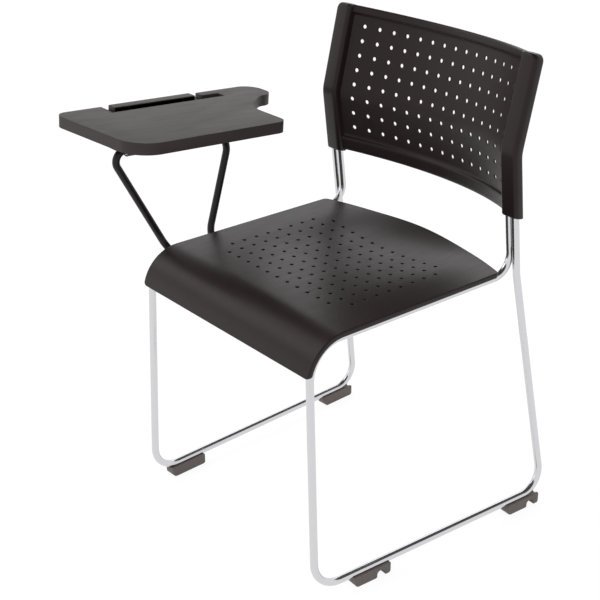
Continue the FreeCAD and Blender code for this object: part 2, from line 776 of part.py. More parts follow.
def foot(label, hooked):
    body = new_body(label)
    half = size("foot_length") / 2
    top = size("foot_height")
    finger = half - size("hook_finger")
    slot = finger - size("hook_slot")
    ceiling = size("hook_slot_height")
    corners = [(-half, zero), (half, zero), (half, top), (-half, top)]
    if hooked:
        corners[1:1] = [(slot, zero), (slot, ceiling), (finger, ceiling), (finger, zero)]
    profile = new_sketch(body, f"{label}_profile", "YZ_Plane")
    draw_outline(profile, corners)
    pad(body, profile, size("foot_width"), f"{label}_sole", middle=True)
    seat = new_sketch(body, f"{label}_rod_section", "XZ_Plane")
    draw_circle(seat, (zero, size("sole_thickness") + size("rod_diameter") / 2),
                size("rod_diameter") / 2 + size("touch_gap"))
    pocket(body, seat, size("foot_length") * 2, f"{label}_rod_seat", middle=True)
    pin_place = new_sketch(body, f"{label}_pin_place", "XY_Plane")
    draw_circle(pin_place, (zero, -size("foot_pin_offset")), size("foot_pin_diameter") / 2 + size("screw_gap"))
    drilled = pocket(body, pin_place, size("foot_height") * 2, f"{label}_pin_hole", middle=True)
    edges = edges_along(drilled.Shape, 0, -half.number, 0)
    rounded = round_edges(body, drilled, edges, size("foot_corner_radius"), f"{label}_front_round")
    edges = edges_along(rounded.Shape, 0, half.number, 0)
    if hooked:
        for corner in ((slot, ceiling), (finger, ceiling), (finger, zero)):
            edges += edges_along(rounded.Shape, 0, corner[0].number, corner[1].number)
    round_edges(body, rounded, edges, size("hook_corner_radius"), f"{label}_rear_round")
    return body


feet = (
    ("right_front_foot", -1, -number("plain_front_foot_reach"), False),
    ("right_rear_foot", -1, number("rear_foot_reach"), False),
    ("left_front_hooked_foot", 1, -number("hooked_front_foot_reach"), True),
    ("left_rear_hooked_foot", 1, number("rear_foot_reach"), True),
)
pins = []
pin_holes = {1: [], -1: []}
for label, sign, reach, hooked in feet:
    spread = number("front_foot_spread") + splay_share * (number("front_foot_reach") + reach)
    turn = Rotation(Vector(0, 0, 1), -sign * splay)
    foot(label, hooked).Placement = Placement(Vector(sign * spread, reach, 0), turn)
    offset = Vector(0, -number("foot_pin_offset"), number("foot_pin_inset"))
    base = Vector(sign * spread, reach, 0) + turn.multVec(offset)
    rise = size("sole_thickness") + size("rod_diameter") / 2 - size("foot_pin_inset")
    pins.append(cylinder(f"{label}_pin", size("foot_pin_diameter"), rise, Placement(base, turn)))
    pin_holes[sign].append(cylinder(f"{label}_rod_hole", size("foot_pin_diameter") + size("screw_gap") * 2,
                                    rise + size("touch_gap"), Placement(base, turn)))
group("foot_pins", pins)
for rod, side, sign in zip(side_frames, ("left", "right"), (1, -1)):
    cut_each(f"{side}_side_rod", rod, pin_holes[sign])

# the tablet turns on the level part of its support rod, and its own frame has Y along that axis
bush_radius = size("rod_diameter") / 2 + size("bush_fit") + size("bush_wall")
underside = bush_radius + size("mount_plate_thickness")
tilt = math.radians(number("tablet_tilt"))
rise = (underside.number + number("tablet_thickness")) * math.cos(tilt)
axis_middle = Vector(-number("tablet_axis_side"), -number("tablet_axis_reach"),
                     number("tablet_centre_height") - rise)
tablet_turn = Rotation(Vector(1, 0, 0), -number("tablet_tilt"))


def on_tablet(x, y, z):
    return Placement(axis_middle + tablet_turn.multVec(Vector(x, y, z)), tablet_turn)


def lift(sketch, height):
    sketch.setExpression(".AttachmentOffset.Base.z", height.text)


top = new_body("tablet_top")
top.Placement = on_tablet(0, 0, underside.number)
outer = -size("tablet_outer_reach")
inner = size("tablet_inner_reach")
rear = size("tablet_rear_inner")
ear_end = rear + size("tablet_ear_length")
ear_side = outer + size("tablet_ear_width")
corners = [
    (outer, -size("tablet_front_outer")),
    (inner, -size("tablet_front_inner")),
    (inner, rear),
    (ear_side + size("tablet_neck_run"), rear),
    (ear_side, rear + size("tablet_neck")),
    (ear_side, ear_end),
    (outer, ear_end),
]
outline = new_sketch(top, "tablet_outline", "XY_Plane")
draw_outline(outline, corners)
slab = pad(top, outline, size("tablet_thickness"), "tablet_slab")
radii = ("front_outer_radius", "front_inner_radius", "rear_inner_radius", "elbow_rest_radius",
         "neck_radius", "ear_tip_radius", "ear_outer_radius")
for corner, radius in zip(corners, radii):
    edges = edges_along(slab.Shape, 2, corner[0].number, corner[1].number)
    slab = round_edges(top, slab, edges, size(radius), f"tablet_{radius}")
rims = []
for index, edge in enumerate(slab.Shape.Edges, 1):
    if edge.BoundBox.ZLength < number("touch_gap"):
        rims.append(f"Edge{index}")
rim = top.newObject("PartDesign::Chamfer", "tablet_rim")
rim.Base = (slab, rims)
bind(rim, Size=size("tablet_edge_bevel"))
doc.recompute()
wall = outer + size("groove_border")
groove_start = -size("groove_front")
groove = new_sketch(top, "pen_groove_outline", "XY_Plane")
lift(groove, size("tablet_thickness"))
draw_rectangle(groove, wall, wall + size("groove_width"), groove_start, groove_start + size("groove_length"))
pocket(top, groove, size("groove_depth"), "pen_groove")
ledge_start = groove_start + size("notch_inset") + size("notch_length")
ledge_end = ledge_start + size("ledge_length")
ledge = new_sketch(top, "pen_ledge_outline", "XY_Plane")
lift(ledge, size("tablet_thickness") - size("groove_depth"))
draw_rectangle(ledge, outer, wall, ledge_start, ledge_end)
pad(top, ledge, size("groove_depth") + size("ledge_rise"), "pen_ledge")
for name, start in (("front_notch", ledge_start - size("notch_length")), ("rear_notch", ledge_end)):
    notch = new_sketch(top, f"{name}_outline", "XY_Plane")
    lift(notch, size("tablet_thickness"))
    draw_rectangle(notch, outer - size("cut_overrun"), wall + size("cut_overrun"),
                   start, start + size("notch_length"))
    pocket(top, notch, size("groove_depth"), name)

# the screws that hold the plate and its two saddles under the tablet
saddle_side = bush_radius + size("saddle_wall")
screw_side = saddle_side + size("saddle_flange") / 2
flange_bottom = bush_radius - size("saddle_wall")
saddles = (("front", -size("front_saddle_reach")), ("rear", size("rear_saddle_reach")))
screw_places = [
    (-size("end_screw_side"), -size("end_screw_front"), bush_radius),
    (-size("end_screw_side"), size("end_screw_rear"), bush_radius),
]
for place, reach in saddles:
    screw_places.append((screw_side, reach, flange_bottom))
    screw_places.append((-screw_side, reach, flange_bottom))
hole_radius = size("tablet_screw_diameter") / 2 + size("screw_gap")
holes = new_sketch(top, "tablet_screw_places", "XY_Plane")
for x, y, z in screw_places:
    draw_circle(holes, (x, y), hole_radius)
pocket(top, holes, size("tablet_screw_grip") + size("screw_gap"), "tablet_screw_holes", back=True)

plate = new_body("mount_plate")
plate.Placement = on_tablet(0, 0, bush_radius.number)
half_plate = size("mount_plate_width") / 2
plate_front = -size("mount_plate_front")
plate_rear = plate_front + size("mount_plate_length")
plate_outline = new_sketch(plate, "mount_plate_outline", "XY_Plane")
draw_rectangle(plate_outline, -half_plate, half_plate, plate_front, plate_rear)
blank = pad(plate, plate_outline, size("mount_plate_thickness"), "mount_plate_blank")
edges = []
for x in (-half_plate, half_plate):
    for y in (plate_front, plate_rear):
        edges += edges_along(blank.Shape, 2, x.number, y.number)
round_edges(plate, blank, edges, size("mount_plate_corner"), "mount_plate_corners")
plate_holes = new_sketch(plate, "mount_plate_hole_places", "XY_Plane")
for x, y, z in screw_places:
    draw_circle(plate_holes, (x, y), hole_radius)
pocket(plate, plate_holes, size("mount_plate_thickness") * 2, "mount_plate_holes", middle=True)

# saddles that carry the plate on the rod, each round a nylon bush
for place, reach in saddles:
    saddle = new_body(f"{place}_saddle")
    saddle.Placement = on_tablet(0, reach.number, 0)
    flange_side = saddle_side + size("saddle_flange")
    flanges = new_sketch(saddle, f"{place}_saddle_flanges", "XZ_Plane")
    draw_rectangle(flanges, -flange_side, flange_side, flange_bottom, bush_radius)
    pad(saddle, flanges, size("saddle_length"), f"{place}_saddle_strap", middle=True)
    sides = new_sketch(saddle, f"{place}_saddle_sides", "XZ_Plane")
    draw_rectangle(sides, -saddle_side, saddle_side, zero, bush_radius)
    pad(saddle, sides, size("saddle_length"), f"{place}_saddle_block", middle=True)
    bow = new_sketch(saddle, f"{place}_saddle_bow", "XZ_Plane")
    draw_circle(bow, (zero, zero), saddle_side)
    pad(saddle, bow, size("saddle_length"), f"{place}_saddle_round", middle=True)
    trough = new_sketch(saddle, f"{place}_saddle_trough", "XZ_Plane")
    draw_rectangle(trough, -bush_radius, bush_radius, zero, saddle_side + size("cut_overrun"))
    pocket(saddle, trough, size("saddle_length") * 2, f"{place}_saddle_slot", middle=True)
    bore = new_sketch(saddle, f"{place}_saddle_bore_section", "XZ_Plane")
    draw_circle(bore, (zero, zero), bush_radius)
    pocket(saddle, bore, size("saddle_length") * 2, f"{place}_saddle_bore", middle=True)
    drill = new_sketch(saddle, f"{place}_saddle_screw_places", "XY_Plane")
    draw_circle(drill, (screw_side, zero), hole_radius)
    draw_circle(drill, (-screw_side, zero), hole_radius)
    pocket(saddle, drill, (saddle_side + size("cut_overrun")) * 2, f"{place}_saddle_screw_holes", middle=True)
    bush = new_body(f"{place}_bush")
    bush.Placement = on_tablet(0, reach.number, 0)
    ring = new_sketch(bush, f"{place}_bush_ring", "XZ_Plane")
    draw_circle(ring, (zero, zero), bush_radius)
    draw_circle(ring, (zero, zero), size("rod_diameter") / 2 + size("bush_fit"))
    pad(bush, ring, size("saddle_length"), f"{place}_bush_tube", middle=True)

tablet_screws = []
for index, (x, y, z) in enumerate(screw_places):
    head = cylinder(f"tablet_screw_head_{index}", size("screw_head_diameter"), size("screw_head_height"),
                    on_tablet(x.number, y.number, z.number - number("screw_head_height")))
    shank = cylinder(f"tablet_screw_shank_{index}", size("tablet_screw_diameter"),
                     underside - z + size("tablet_screw_grip"), on_tablet(x.number, y.number, z.number))
    tablet_screws.append(fuse(f"tablet_screw_{index}", [head, shank]))
group("tablet_screws", tablet_screws)

# the tablet's support: one rod, up at the front, level under the tablet and down again at the rear
low = rail_height - number("crossbar_drop")
side = -number("tablet_axis_side")
inner_end = -number("support_end_inset")
front_foot = -number("tablet_axis_reach") - number("support_front_foot")
rear_foot = -number("tablet_axis_reach") + number("support_rear_foot")
corners = [
    Vector(inner_end, front_foot, low),
    Vector(side, front_foot, low),
    on_tablet(0, -number("support_front_lead"), 0).Base,
    on_tablet(0, number("support_rear_lead"), 0).Base,
    Vector(side, rear_foot, low),
    Vector(inner_end, rear_foot, low),
]
bends = ("support_bottom_radius", "support_front_radius", "support_rear_radius", "support_bottom_radius")
support = bent_rod("tablet_support_rod", corners, [number(bend) for bend in bends], size("rod_diameter"))

# a plate welded to the rod, on which the open tablet rests
stop_bottom = bush_radius.number - number("touch_gap") - number("stop_plate_thickness")
stop_blank = box("stop_plate_blank", size("stop_plate_reach"), size("stop_plate_length"),
                 size("stop_plate_thickness"), on_tablet(0, -number("stop_plate_length") / 2, stop_bottom))
cut("tablet_stop_plate", stop_blank, support)

# clamps that hold both ends of the support beside the front crossbar
clamp_middle = -number("front_crossbar_reach")
half_gap = rod_radius - number("clamp_bite")
clamp_bottom = low - half_gap - number("clamp_thickness")
clamp_top = low + half_gap + number("clamp_thickness")
clamped = group("clamped_rods", [support, doc.getObject("front_crossbar")])
bolts = []
nuts = []
for place in ("outer", "inner"):
    x = -number(f"{place}_clamp_inset")
    holes = []
    for end, step in (("front", -0.5), ("rear", 0.5)):
        y = clamp_middle + step * number("bolt_spacing")
        bottom = Vector(x, y, clamp_bottom)
        hole = cylinder(f"{place}_{end}_bolt_hole", size("bolt_diameter") + size("screw_gap") * 2,
                        size("clamp_thickness") * 2 + size("rod_diameter") + size("nut_height") * 2,
                        Placement(bottom - Vector(0, 0, number("cut_overrun")), Rotation()))
        holes.append(hole)
        head = doc.addObject("Part::Prism", f"{place}_{end}_bolt_head")
        bind(head, Circumradius=size("bolt_head_corners") / 2, Height=size("bolt_head_height"))
        head.Placement = Placement(bottom - Vector(0, 0, number("bolt_head_height")), Rotation())
        length = size("clamp_thickness") * 2 + size("rod_diameter") - size("clamp_bite") * 2 + size("nut_height")
        shank = cylinder(f"{place}_{end}_bolt_shank", size("bolt_diameter"), length, Placement(bottom, Rotation()))
        bolts.append(fuse(f"{place}_{end}_bolt", [head, shank]))
        nut = doc.addObject("Part::Prism", f"{place}_{end}_nut_blank")
        bind(nut, Circumradius=size("bolt_head_corners") / 2, Height=size("nut_height"))
        nut.Placement = Placement(Vector(x, y, clamp_top), Rotation())
        nuts.append(cut(f"{place}_{end}_nut", nut, hole))
    for level, bottom in (("upper", low + half_gap), ("lower", clamp_bottom)):
        corner = Vector(x - number("clamp_width") / 2, clamp_middle - number("clamp_length") / 2, bottom)
        blank = box(f"{place}_{level}_clamp_blank", size("clamp_width"), size("clamp_length"),
                    size("clamp_thickness"), Placement(corner, Rotation()))
        cut_each(f"{place}_{level}_clamp", blank, [clamped] + holes)
group("clamp_bolts", bolts)
group("clamp_nuts", nuts)

kept = [
    "left_side_rod", "right_side_rod", "left_upright_weld", "right_upright_weld",
    "front_crossbar", "rear_crossbar", "front_left_seat_tab", "front_right_seat_tab",
    "rear_left_seat_tab", "rear_right_seat_tab", "seat_screws", "seat_shell", "back_shell", "back_lock_screws",
    "right_front_foot", "right_rear_foot", "left_front_hooked_foot", "left_rear_hooked_foot", "foot_pins",
    "tablet_top", "mount_plate", "front_saddle", "rear_saddle", "front_bush", "rear_bush", "tablet_screws",
    "tablet_support_rod", "tablet_stop_plate", "outer_upper_clamp", "outer_lower_clamp",
    "inner_upper_clamp", "inner_lower_clamp", "clamp_bolts", "clamp_nuts",
]
doc.recompute()
for item in doc.Objects:
    if "Invalid" in item.State or "Error" in item.State:
        raise RuntimeError(f"{item.Label} failed: {item.State}")
named = {item.Label: item for item in doc.Objects}
for label in kept:
    shape = named[label].Shape
    if shape.isNull() or not shape.isValid():
        raise RuntimeError(f"{label} has no valid shape")
    print(label, len(shape.Solids), "solids", round(shape.Volume), "cubic mm")
for label in kept:
    named[label].Shape.exportStep(f"parts/{label}.step")
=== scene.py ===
import json
import math

import bmesh
import bpy
from mathutils import Matrix, Vector


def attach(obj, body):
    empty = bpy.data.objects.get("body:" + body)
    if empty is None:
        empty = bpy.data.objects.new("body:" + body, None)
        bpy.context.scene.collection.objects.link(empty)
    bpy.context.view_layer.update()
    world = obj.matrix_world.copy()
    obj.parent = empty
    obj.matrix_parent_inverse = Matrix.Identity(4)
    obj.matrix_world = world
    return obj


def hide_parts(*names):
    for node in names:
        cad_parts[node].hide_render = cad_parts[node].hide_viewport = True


# Stacking chair on bent rod sled frames with a flip-up writing tablet, dressed over its CAD frame.
# Lengths in the dictionaries are millimetres; the pieces are drawn in them and scaled to metres at the end.

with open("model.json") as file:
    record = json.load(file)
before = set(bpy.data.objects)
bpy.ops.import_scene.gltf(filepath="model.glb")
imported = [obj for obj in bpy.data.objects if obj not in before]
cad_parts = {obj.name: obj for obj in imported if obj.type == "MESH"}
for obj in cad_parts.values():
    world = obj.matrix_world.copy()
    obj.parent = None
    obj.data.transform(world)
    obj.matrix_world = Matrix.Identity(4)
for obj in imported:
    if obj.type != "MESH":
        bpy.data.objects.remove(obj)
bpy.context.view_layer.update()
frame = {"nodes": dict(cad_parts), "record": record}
mm = 0.001
print("frame loaded:", len(frame["nodes"]), "nodes")


# small tools for materials

def linearColour(hexColour):
    channels = []
    for start in (0, 2, 4):
        value = int(hexColour[start:start + 2], 16) / 255
        channels.append(value / 12.92 if value <= 0.04045 else ((value + 0.055) / 1.055) ** 2.4)
    return (*channels, 1.0)


def newMaterial(name):
    material = bpy.data.materials.new(name)
    material.use_nodes = True
    tree = material.node_tree
    return material, tree, tree.nodes["Principled BSDF"]


def addNode(tree, kind, settings=None, links=None):
    # settings: attribute or socket values by name or number; links: input socket from (node, output)
    node = tree.nodes.new(kind)
    for key, value in (settings or {}).items():
        if isinstance(key, int) or key in node.inputs:
            node.inputs[key].default_value = value
        else:
            setattr(node, key, value)
    for key, (source, output) in (links or {}).items():
        tree.links.new(source.outputs[output], node.inputs[key])
    return node


# materials

def chromePlatedSteel():
    # decorative chrome on bent steel rod: a bright mirror with drawn streaks along the rod and a soft haze
    finish = {"colour": "d2d2d4", "roughness": 0.1, "haze": 0.08, "hazeSize": 8, "streakSize": 0.9,
              "streakHeight": 0.004, "bump": 0.2}
    material, tree, shader = newMaterial("chromePlatedSteel")
    coordinates = addNode(tree, "ShaderNodeTexCoord")
    cloud = addNode(tree, "ShaderNodeTexNoise", {"Scale": 1 / (finish["hazeSize"] * mm), "Detail": 4.0},
                    {"Vector": (coordinates, "Object")})
    streak = addNode(tree, "ShaderNodeTexNoise", {"Scale": 1 / (finish["streakSize"] * mm), "Detail": 2.0},
                     {"Vector": (coordinates, "Object")})
    haze = addNode(tree, "ShaderNodeMapRange",
                   {"To Min": finish["roughness"], "To Max": finish["roughness"] + finish["haze"]},
                   {"Value": (cloud, "Fac")})
    bump = addNode(tree, "ShaderNodeBump",
                   {"Strength": finish["bump"], "Distance": finish["streakHeight"] * mm},
                   {"Height": (streak, "Fac")})
    shader.inputs["Base Color"].default_value = linearColour(finish["colour"])
    shader.inputs["Metallic"].default_value = 1.0
    tree.links.new(haze.outputs["Result"], shader.inputs["Roughness"])
    tree.links.new(bump.outputs["Normal"], shader.inputs["Normal"])
    return material


def tintedMetal(name, finish):
    # metal whose colour drifts between two tints, with a fine tooth in the surface
    material, tree, shader = newMaterial(name)
    coordinates = addNode(tree, "ShaderNodeTexCoord")
    cloud = addNode(tree, "ShaderNodeTexNoise", {"Scale": 1 / (finish["tintSize"] * mm), "Detail": 3.0},
                    {"Vector": (coordinates, "Object")})
    tooth = addNode(tree, "ShaderNodeTexNoise", {"Scale": 1 / (finish["toothSize"] * mm), "Detail": 2.0},
                    {"Vector": (coordinates, "Object")})
    tint = addNode(tree, "ShaderNodeMix",
                   {"data_type": "RGBA", 6: linearColour(finish["dark"]), 7: linearColour(finish["light"])},
                   {0: (cloud, "Fac")})
    gloss = addNode(tree, "ShaderNodeMapRange",
                    {"To Min": finish["roughness"] - finish["spread"],
                     "To Max": finish["roughness"] + finish["spread"]},
                    {"Value": (tooth, "Fac")})
    bump = addNode(tree, "ShaderNodeBump",
                   {"Strength": finish["bump"], "Distance": finish["toothDepth"] * mm},
                   {"Height": (tooth, "Fac")})
    tree.links.new(tint.outputs[2], shader.inputs["Base Color"])
    tree.links.new(gloss.outputs["Result"], shader.inputs["Roughness"])
    tree.links.new(bump.outputs["Normal"], shader.inputs["Normal"])
    shader.inputs["Metallic"].default_value = finish["metallic"]
    return material


rubLay = {"stretch": (1.0, 0.12, 1.0), "turn": (0.1, 0.3, 0.5)}


def grainedPlastic(name, finish):
    # moulded plastic: a spark-eroded grain breaks up the gloss, the colour is slightly cloudy,
    # and long faint rubs catch the light
    material, tree, shader = newMaterial(name)
    coordinates = addNode(tree, "ShaderNodeTexCoord")
    grain = addNode(tree, "ShaderNodeTexNoise",
                    {"Scale": 1 / (finish["grainSize"] * mm), "Detail": 3.0, "Roughness": 0.6},
                    {"Vector": (coordinates, "Object")})
    cloud = addNode(tree, "ShaderNodeTexNoise", {"Scale": 1 / (finish["cloudSize"] * mm), "Detail": 2.0},
                    {"Vector": (coordinates, "Object")})
    stretch = addNode(tree, "ShaderNodeMapping", {"Scale": rubLay["stretch"], "Rotation": rubLay["turn"]},
                      {"Vector": (coordinates, "Object")})
    rub = addNode(tree, "ShaderNodeTexNoise", {"Scale": 1 / (finish["rubSize"] * mm), "Detail": 5.0},
                  {"Vector": (stretch, "Vector")})
    tone = addNode(tree, "ShaderNodeMix",
                   {"data_type": "RGBA", 6: linearColour(finish["dark"]), 7: linearColour(finish["light"])},
                   {0: (cloud, "Fac")})
    gloss = addNode(tree, "ShaderNodeMapRange",
                    {"To Min": finish["roughness"] - finish["spread"],
                     "To Max": finish["roughness"] + finish["spread"]},
                    {"Value": (rub, "Fac")})
    bump = addNode(tree, "ShaderNodeBump",
                   {"Strength": finish["bump"], "Distance": finish["grainDepth"] * mm},
                   {"Height": (grain, "Fac")})
    tree.links.new(tone.outputs[2], shader.inputs["Base Color"])
    tree.links.new(gloss.outputs["Result"], shader.inputs["Roughness"])
    tree.links.new(bump.outputs["Normal"], shader.inputs["Normal"])
    shader.inputs["IOR"].default_value = finish["ior"]
    # the grain scatters part of the gloss
    shader.inputs["Specular IOR Level"].default_value = finish["sheenLevel"]
    return material


# polypropylene moulded in a spark-eroded tool: a soft satin sheen on a warm black;
# the real grain is about 0.5 mm, and it is drawn two to three times coarser so that it shows
polypropylene = {"dark": "231a1a", "light": "2b2020", "roughness": 0.36, "spread": 0.07, "ior": 1.49,
                 "sheenLevel": 0.23, "grainSize": 1.4, "grainDepth": 0.06, "bump": 0.4, "cloudSize": 45,
                 "rubSize": 6}
# ABS moulded with the same grain: greyer and drier than the shells, rubbed by paper and sleeves
tabletAbs = {"dark": "352c2c", "light": "3d3434", "roughness": 0.5, "spread": 0.07, "ior": 1.5,
             "sheenLevel": 0.3, "grainSize": 1.4, "grainDepth": 0.06, "bump": 0.4, "cloudSize": 60,
             "rubSize": 9}
# grey-brown nylon, moulded and scuffed by the floor: dull, with a waxy touch
footNylon = {"dark": "635b57", "light": "706763", "roughness": 0.5, "spread": 0.06, "ior": 1.53,
             "sheenLevel": 0.4, "grainSize": 0.9, "grainDepth": 0.05, "bump": 0.3, "cloudSize": 14,
             "rubSize": 3}
# nylon without pigment, machined: milky and smooth
naturalNylon = {"dark": "cfcabd", "light": "dcd8cc", "roughness": 0.4, "spread": 0.05, "ior": 1.53,
                "sheenLevel": 0.5, "grainSize": 0.6, "grainDepth": 0.03, "bump": 0.2, "cloudSize": 8,
                "rubSize": 3}
# powder coat is a baked paint with an orange-peel skin, a little glossier than the moulded parts
powderCoat = {"dark": "140f10", "light": "1a1415", "roughness": 0.34, "spread": 0.06, "ior": 1.5,
              "sheenLevel": 0.3, "grainSize": 1.2, "grainDepth": 0.05, "bump": 0.35, "cloudSize": 20,
              "rubSize": 4}
# zinc is a pale grey plate with a faint blue and yellow passivation
zincPlate = {"dark": "a9adb2", "light": "bdb9a6", "roughness": 0.34, "spread": 0.08, "metallic": 1.0,
             "tintSize": 6, "toothSize": 0.5, "toothDepth": 0.01, "bump": 0.3}
# the weld was burnt brown before plating, and its scale shows through as a dull straw to brown patch
heatTint = {"dark": "4b3a2e", "light": "8d7a66", "roughness": 0.42, "spread": 0.1, "metallic": 0.9,
            "tintSize": 4, "toothSize": 0.7, "toothDepth": 0.05, "bump": 0.5}

chrome = chromePlatedSteel()
shellPlastic = grainedPlastic("mouldedPolypropylene", polypropylene)
tabletSkin = grainedPlastic("mouldedAbs", tabletAbs)
footPlastic = grainedPlastic("mouldedFootNylon", footNylon)
bushNylon = grainedPlastic("machinedNylon", naturalNylon)
blackCoat = grainedPlastic("bakedPowderCoat", powderCoat)
zinc = tintedMetal("zincPlatedSteel", zincPlate)
burntWeld = tintedMetal("heatTintedWeld", heatTint)

finishes = {"chromed_rod": chrome, "shell_plastic": shellPlastic, "tablet_plastic": tabletSkin,
            "foot_plastic": footPlastic, "bush_nylon": bushNylon, "black_steel": blackCoat,
            "zinc_steel": zinc, "weld_bead": burntWeld}
for subpart in frame["record"]["subparts"]:
    node = frame["nodes"][subpart["node"]]
    node.data.materials.clear()
    node.data.materials.append(finishes[subpart["material_slot"]])
print("finishes given to the CAD nodes")


# small tools for shapes

up = Vector((0, 0, 1))


def place(item, name):
    thing = bpy.data.objects.new(name, item)
    bpy.context.collection.objects.link(thing)
    return thing


creaseAngle = 40


def makePiece(name, body, material, bm, *stands):
    # hands a mesh drawn in millimetres to the frame, in place of the CAD nodes it stands for
    bmesh.ops.recalc_face_normals(bm, faces=bm.faces)
    bmesh.ops.scale(bm, vec=(mm, mm, mm), verts=bm.verts)
    data = bpy.data.meshes.new(name)
    bm.to_mesh(data)
    bm.free()
    data.shade_smooth()
    data.set_sharp_from_angle(angle=math.radians(creaseAngle))
    data.materials.append(material)
    piece = place(data, name)
    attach(piece, body)
    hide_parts(*stands)


def joinRings(bm, rings):
    for near, far in zip(rings, rings[1:]):
        for first in range(len(near)):
            second = (first + 1) % len(near)
            bm.faces.new((near[first], near[second], far[second], far[first]))


def skin(bm, rings):
    # a closed skin over rings of points, with a flat cap on both ends
    rows = [[bm.verts.new(point) for point in ring] for ring in rings]
    joinRings(bm, rows)
    for cap in (rows[0][::-1], rows[-1]):
        bm.faces.new(cap)


def bentLine(corners, radii, step=5):
    # the middle line of a bent rod: straight runs and round bends
    points = [corners[0]]
    for before, corner, after, radius in zip(corners, corners[1:], corners[2:], radii):
        back = (before - corner).normalized()
        ahead = (after - corner).normalized()
        turn = math.pi - back.angle(ahead)
        centre = corner + (back + ahead).normalized() * (radius / math.cos(turn / 2))
        arm = corner + back * (radius * math.tan(turn / 2)) - centre
        axis = arm.cross(-back).normalized()
        count = max(3, math.ceil(math.degrees(turn) / step))
        for index in range(count + 1):
            points.append(centre + Matrix.Rotation(turn * index / count, 3, axis) @ arm)
    return points + [corners[-1]]


def rodRings(line, radius, sides=28, chamfer=0.8):
    # rings round the line, turned as little as possible from one to the next
    last = len(line) - 1
    directions = [(line[min(index + 1, last)] - line[max(index - 1, 0)]).normalized()
                  for index in range(last + 1)]
    stations = [(line[0], directions[0], radius - chamfer)]
    stations += [(line[0] + directions[0] * chamfer, directions[0], radius)]
    stations += [(point, direction, radius) for point, direction in zip(line[1:-1], directions[1:-1])]
    stations += [(line[-1] - directions[-1] * chamfer, directions[-1], radius)]
    stations += [(line[-1], directions[-1], radius - chamfer)]
    rings = []
    across = directions[0].orthogonal()
    for point, direction, reach in stations:
        across = (across - direction * across.dot(direction)).normalized()
        other = direction.cross(across)
        angles = [math.tau * side / sides for side in range(sides)]
        rings.append([point + (across * math.cos(a) + other * math.sin(a)) * reach for a in angles])
    return rings


def turnedRings(base, axis, across, profile, sides=24):
    # rings of (radius, height) round an axis; a third number is the width over corners of a hexagon
    other = axis.cross(across)
    rings = []
    for radius, height, *corners in profile:
        ring = []
        for side in range(sides):
            angle = math.tau * side / sides
            reach = radius
            if corners:
                flat = corners[0] / 2 * math.cos(math.pi / 6)
                reach = min(radius, flat / math.cos(angle % (math.pi / 3) - math.pi / 6))
            ring.append(base + axis * height + (across * math.cos(angle) + other * math.sin(angle)) * reach)
        rings.append(ring)
    return rings


def turned(bm, base, axis, profile, sides=24):
    skin(bm, turnedRings(base, axis, axis.orthogonal().normalized(), profile, sides))


fillet = {"ripples": 26, "dip": 0.82, "sink": 0.3, "throat": 0.45}


def collar(bm, centre, axis, inner, width):
    # a fillet weld: a rippled ring round a rod where it meets another piece
    across = axis.orthogonal().normalized()
    other = axis.cross(across)
    sink = fillet["sink"]
    rows = []
    for step in range(fillet["ripples"] * 2):
        angle = math.tau * step / (fillet["ripples"] * 2)
        out = across * math.cos(angle) + other * math.sin(angle)
        swell = width * (1 if step % 2 else fillet["dip"])
        throat = swell * fillet["throat"]
        row = [(-sink, swell), (throat, throat), (swell, -sink), (-sink, -sink)]
        rows.append([bm.verts.new(centre + out * (inner + reach) + axis * rise) for reach, rise in row])
    joinRings(bm, rows + rows[:1])


def bevelSharp(bm, width, segments=3, angle=35, fullness=0.6):
    sharp = [edge for edge in bm.edges if edge.is_manifold and edge.calc_face_angle() > math.radians(angle)]
    bmesh.ops.bevel(bm, geom=sharp, offset=width, segments=segments, profile=fullness, affect="EDGES",
                    clamp_overlap=True)


def carved(blank, cutters, mergeWithin=0.001):
    # the blank with the cutters taken out, all of them plain meshes in millimetres
    items = []
    for index, bm in enumerate([blank] + cutters):
        bmesh.ops.recalc_face_normals(bm, faces=bm.faces)
        data = bpy.data.meshes.new(f"carving{index}")
        bm.to_mesh(data)
        bm.free()
        items.append(place(data, data.name))
    for tool in items[1:]:
        cut = items[0].modifiers.new("cut", "BOOLEAN")
        cut.operation = "DIFFERENCE"
        cut.solver = "EXACT"
        cut.object = tool
    result = bpy.data.meshes.new_from_object(items[0].evaluated_get(bpy.context.evaluated_depsgraph_get()))
    shape = bmesh.new()
    shape.from_mesh(result)
    for item in items:
        data = item.data
        bpy.data.objects.remove(item)
        bpy.data.meshes.remove(data)
    bpy.data.meshes.remove(result)
    bmesh.ops.remove_doubles(shape, verts=shape.verts, dist=mergeWithin)
    return shape


def slab(points, lift):
    # a flat outline raised by lift
    bm = bmesh.new()
    face = bm.faces.new([bm.verts.new(point) for point in points])
    raised = bmesh.ops.extrude_face_region(bm, geom=[face])
    top = [item for item in raised["geom"] if isinstance(item, bmesh.types.BMVert)]
    bmesh.ops.translate(bm, vec=lift, verts=top)
    return bm


def roundedOutline(corners, radii, step=6):
    # a flat outline whose corners are rounded, as points
    points = []
    count = len(corners)
    for index, (corner, radius) in enumerate(zip(corners, radii)):
        run = bentLine([corners[index - 1], corner, corners[(index + 1) % count]], [radius], step)
        points += run[1:-1]
    return points


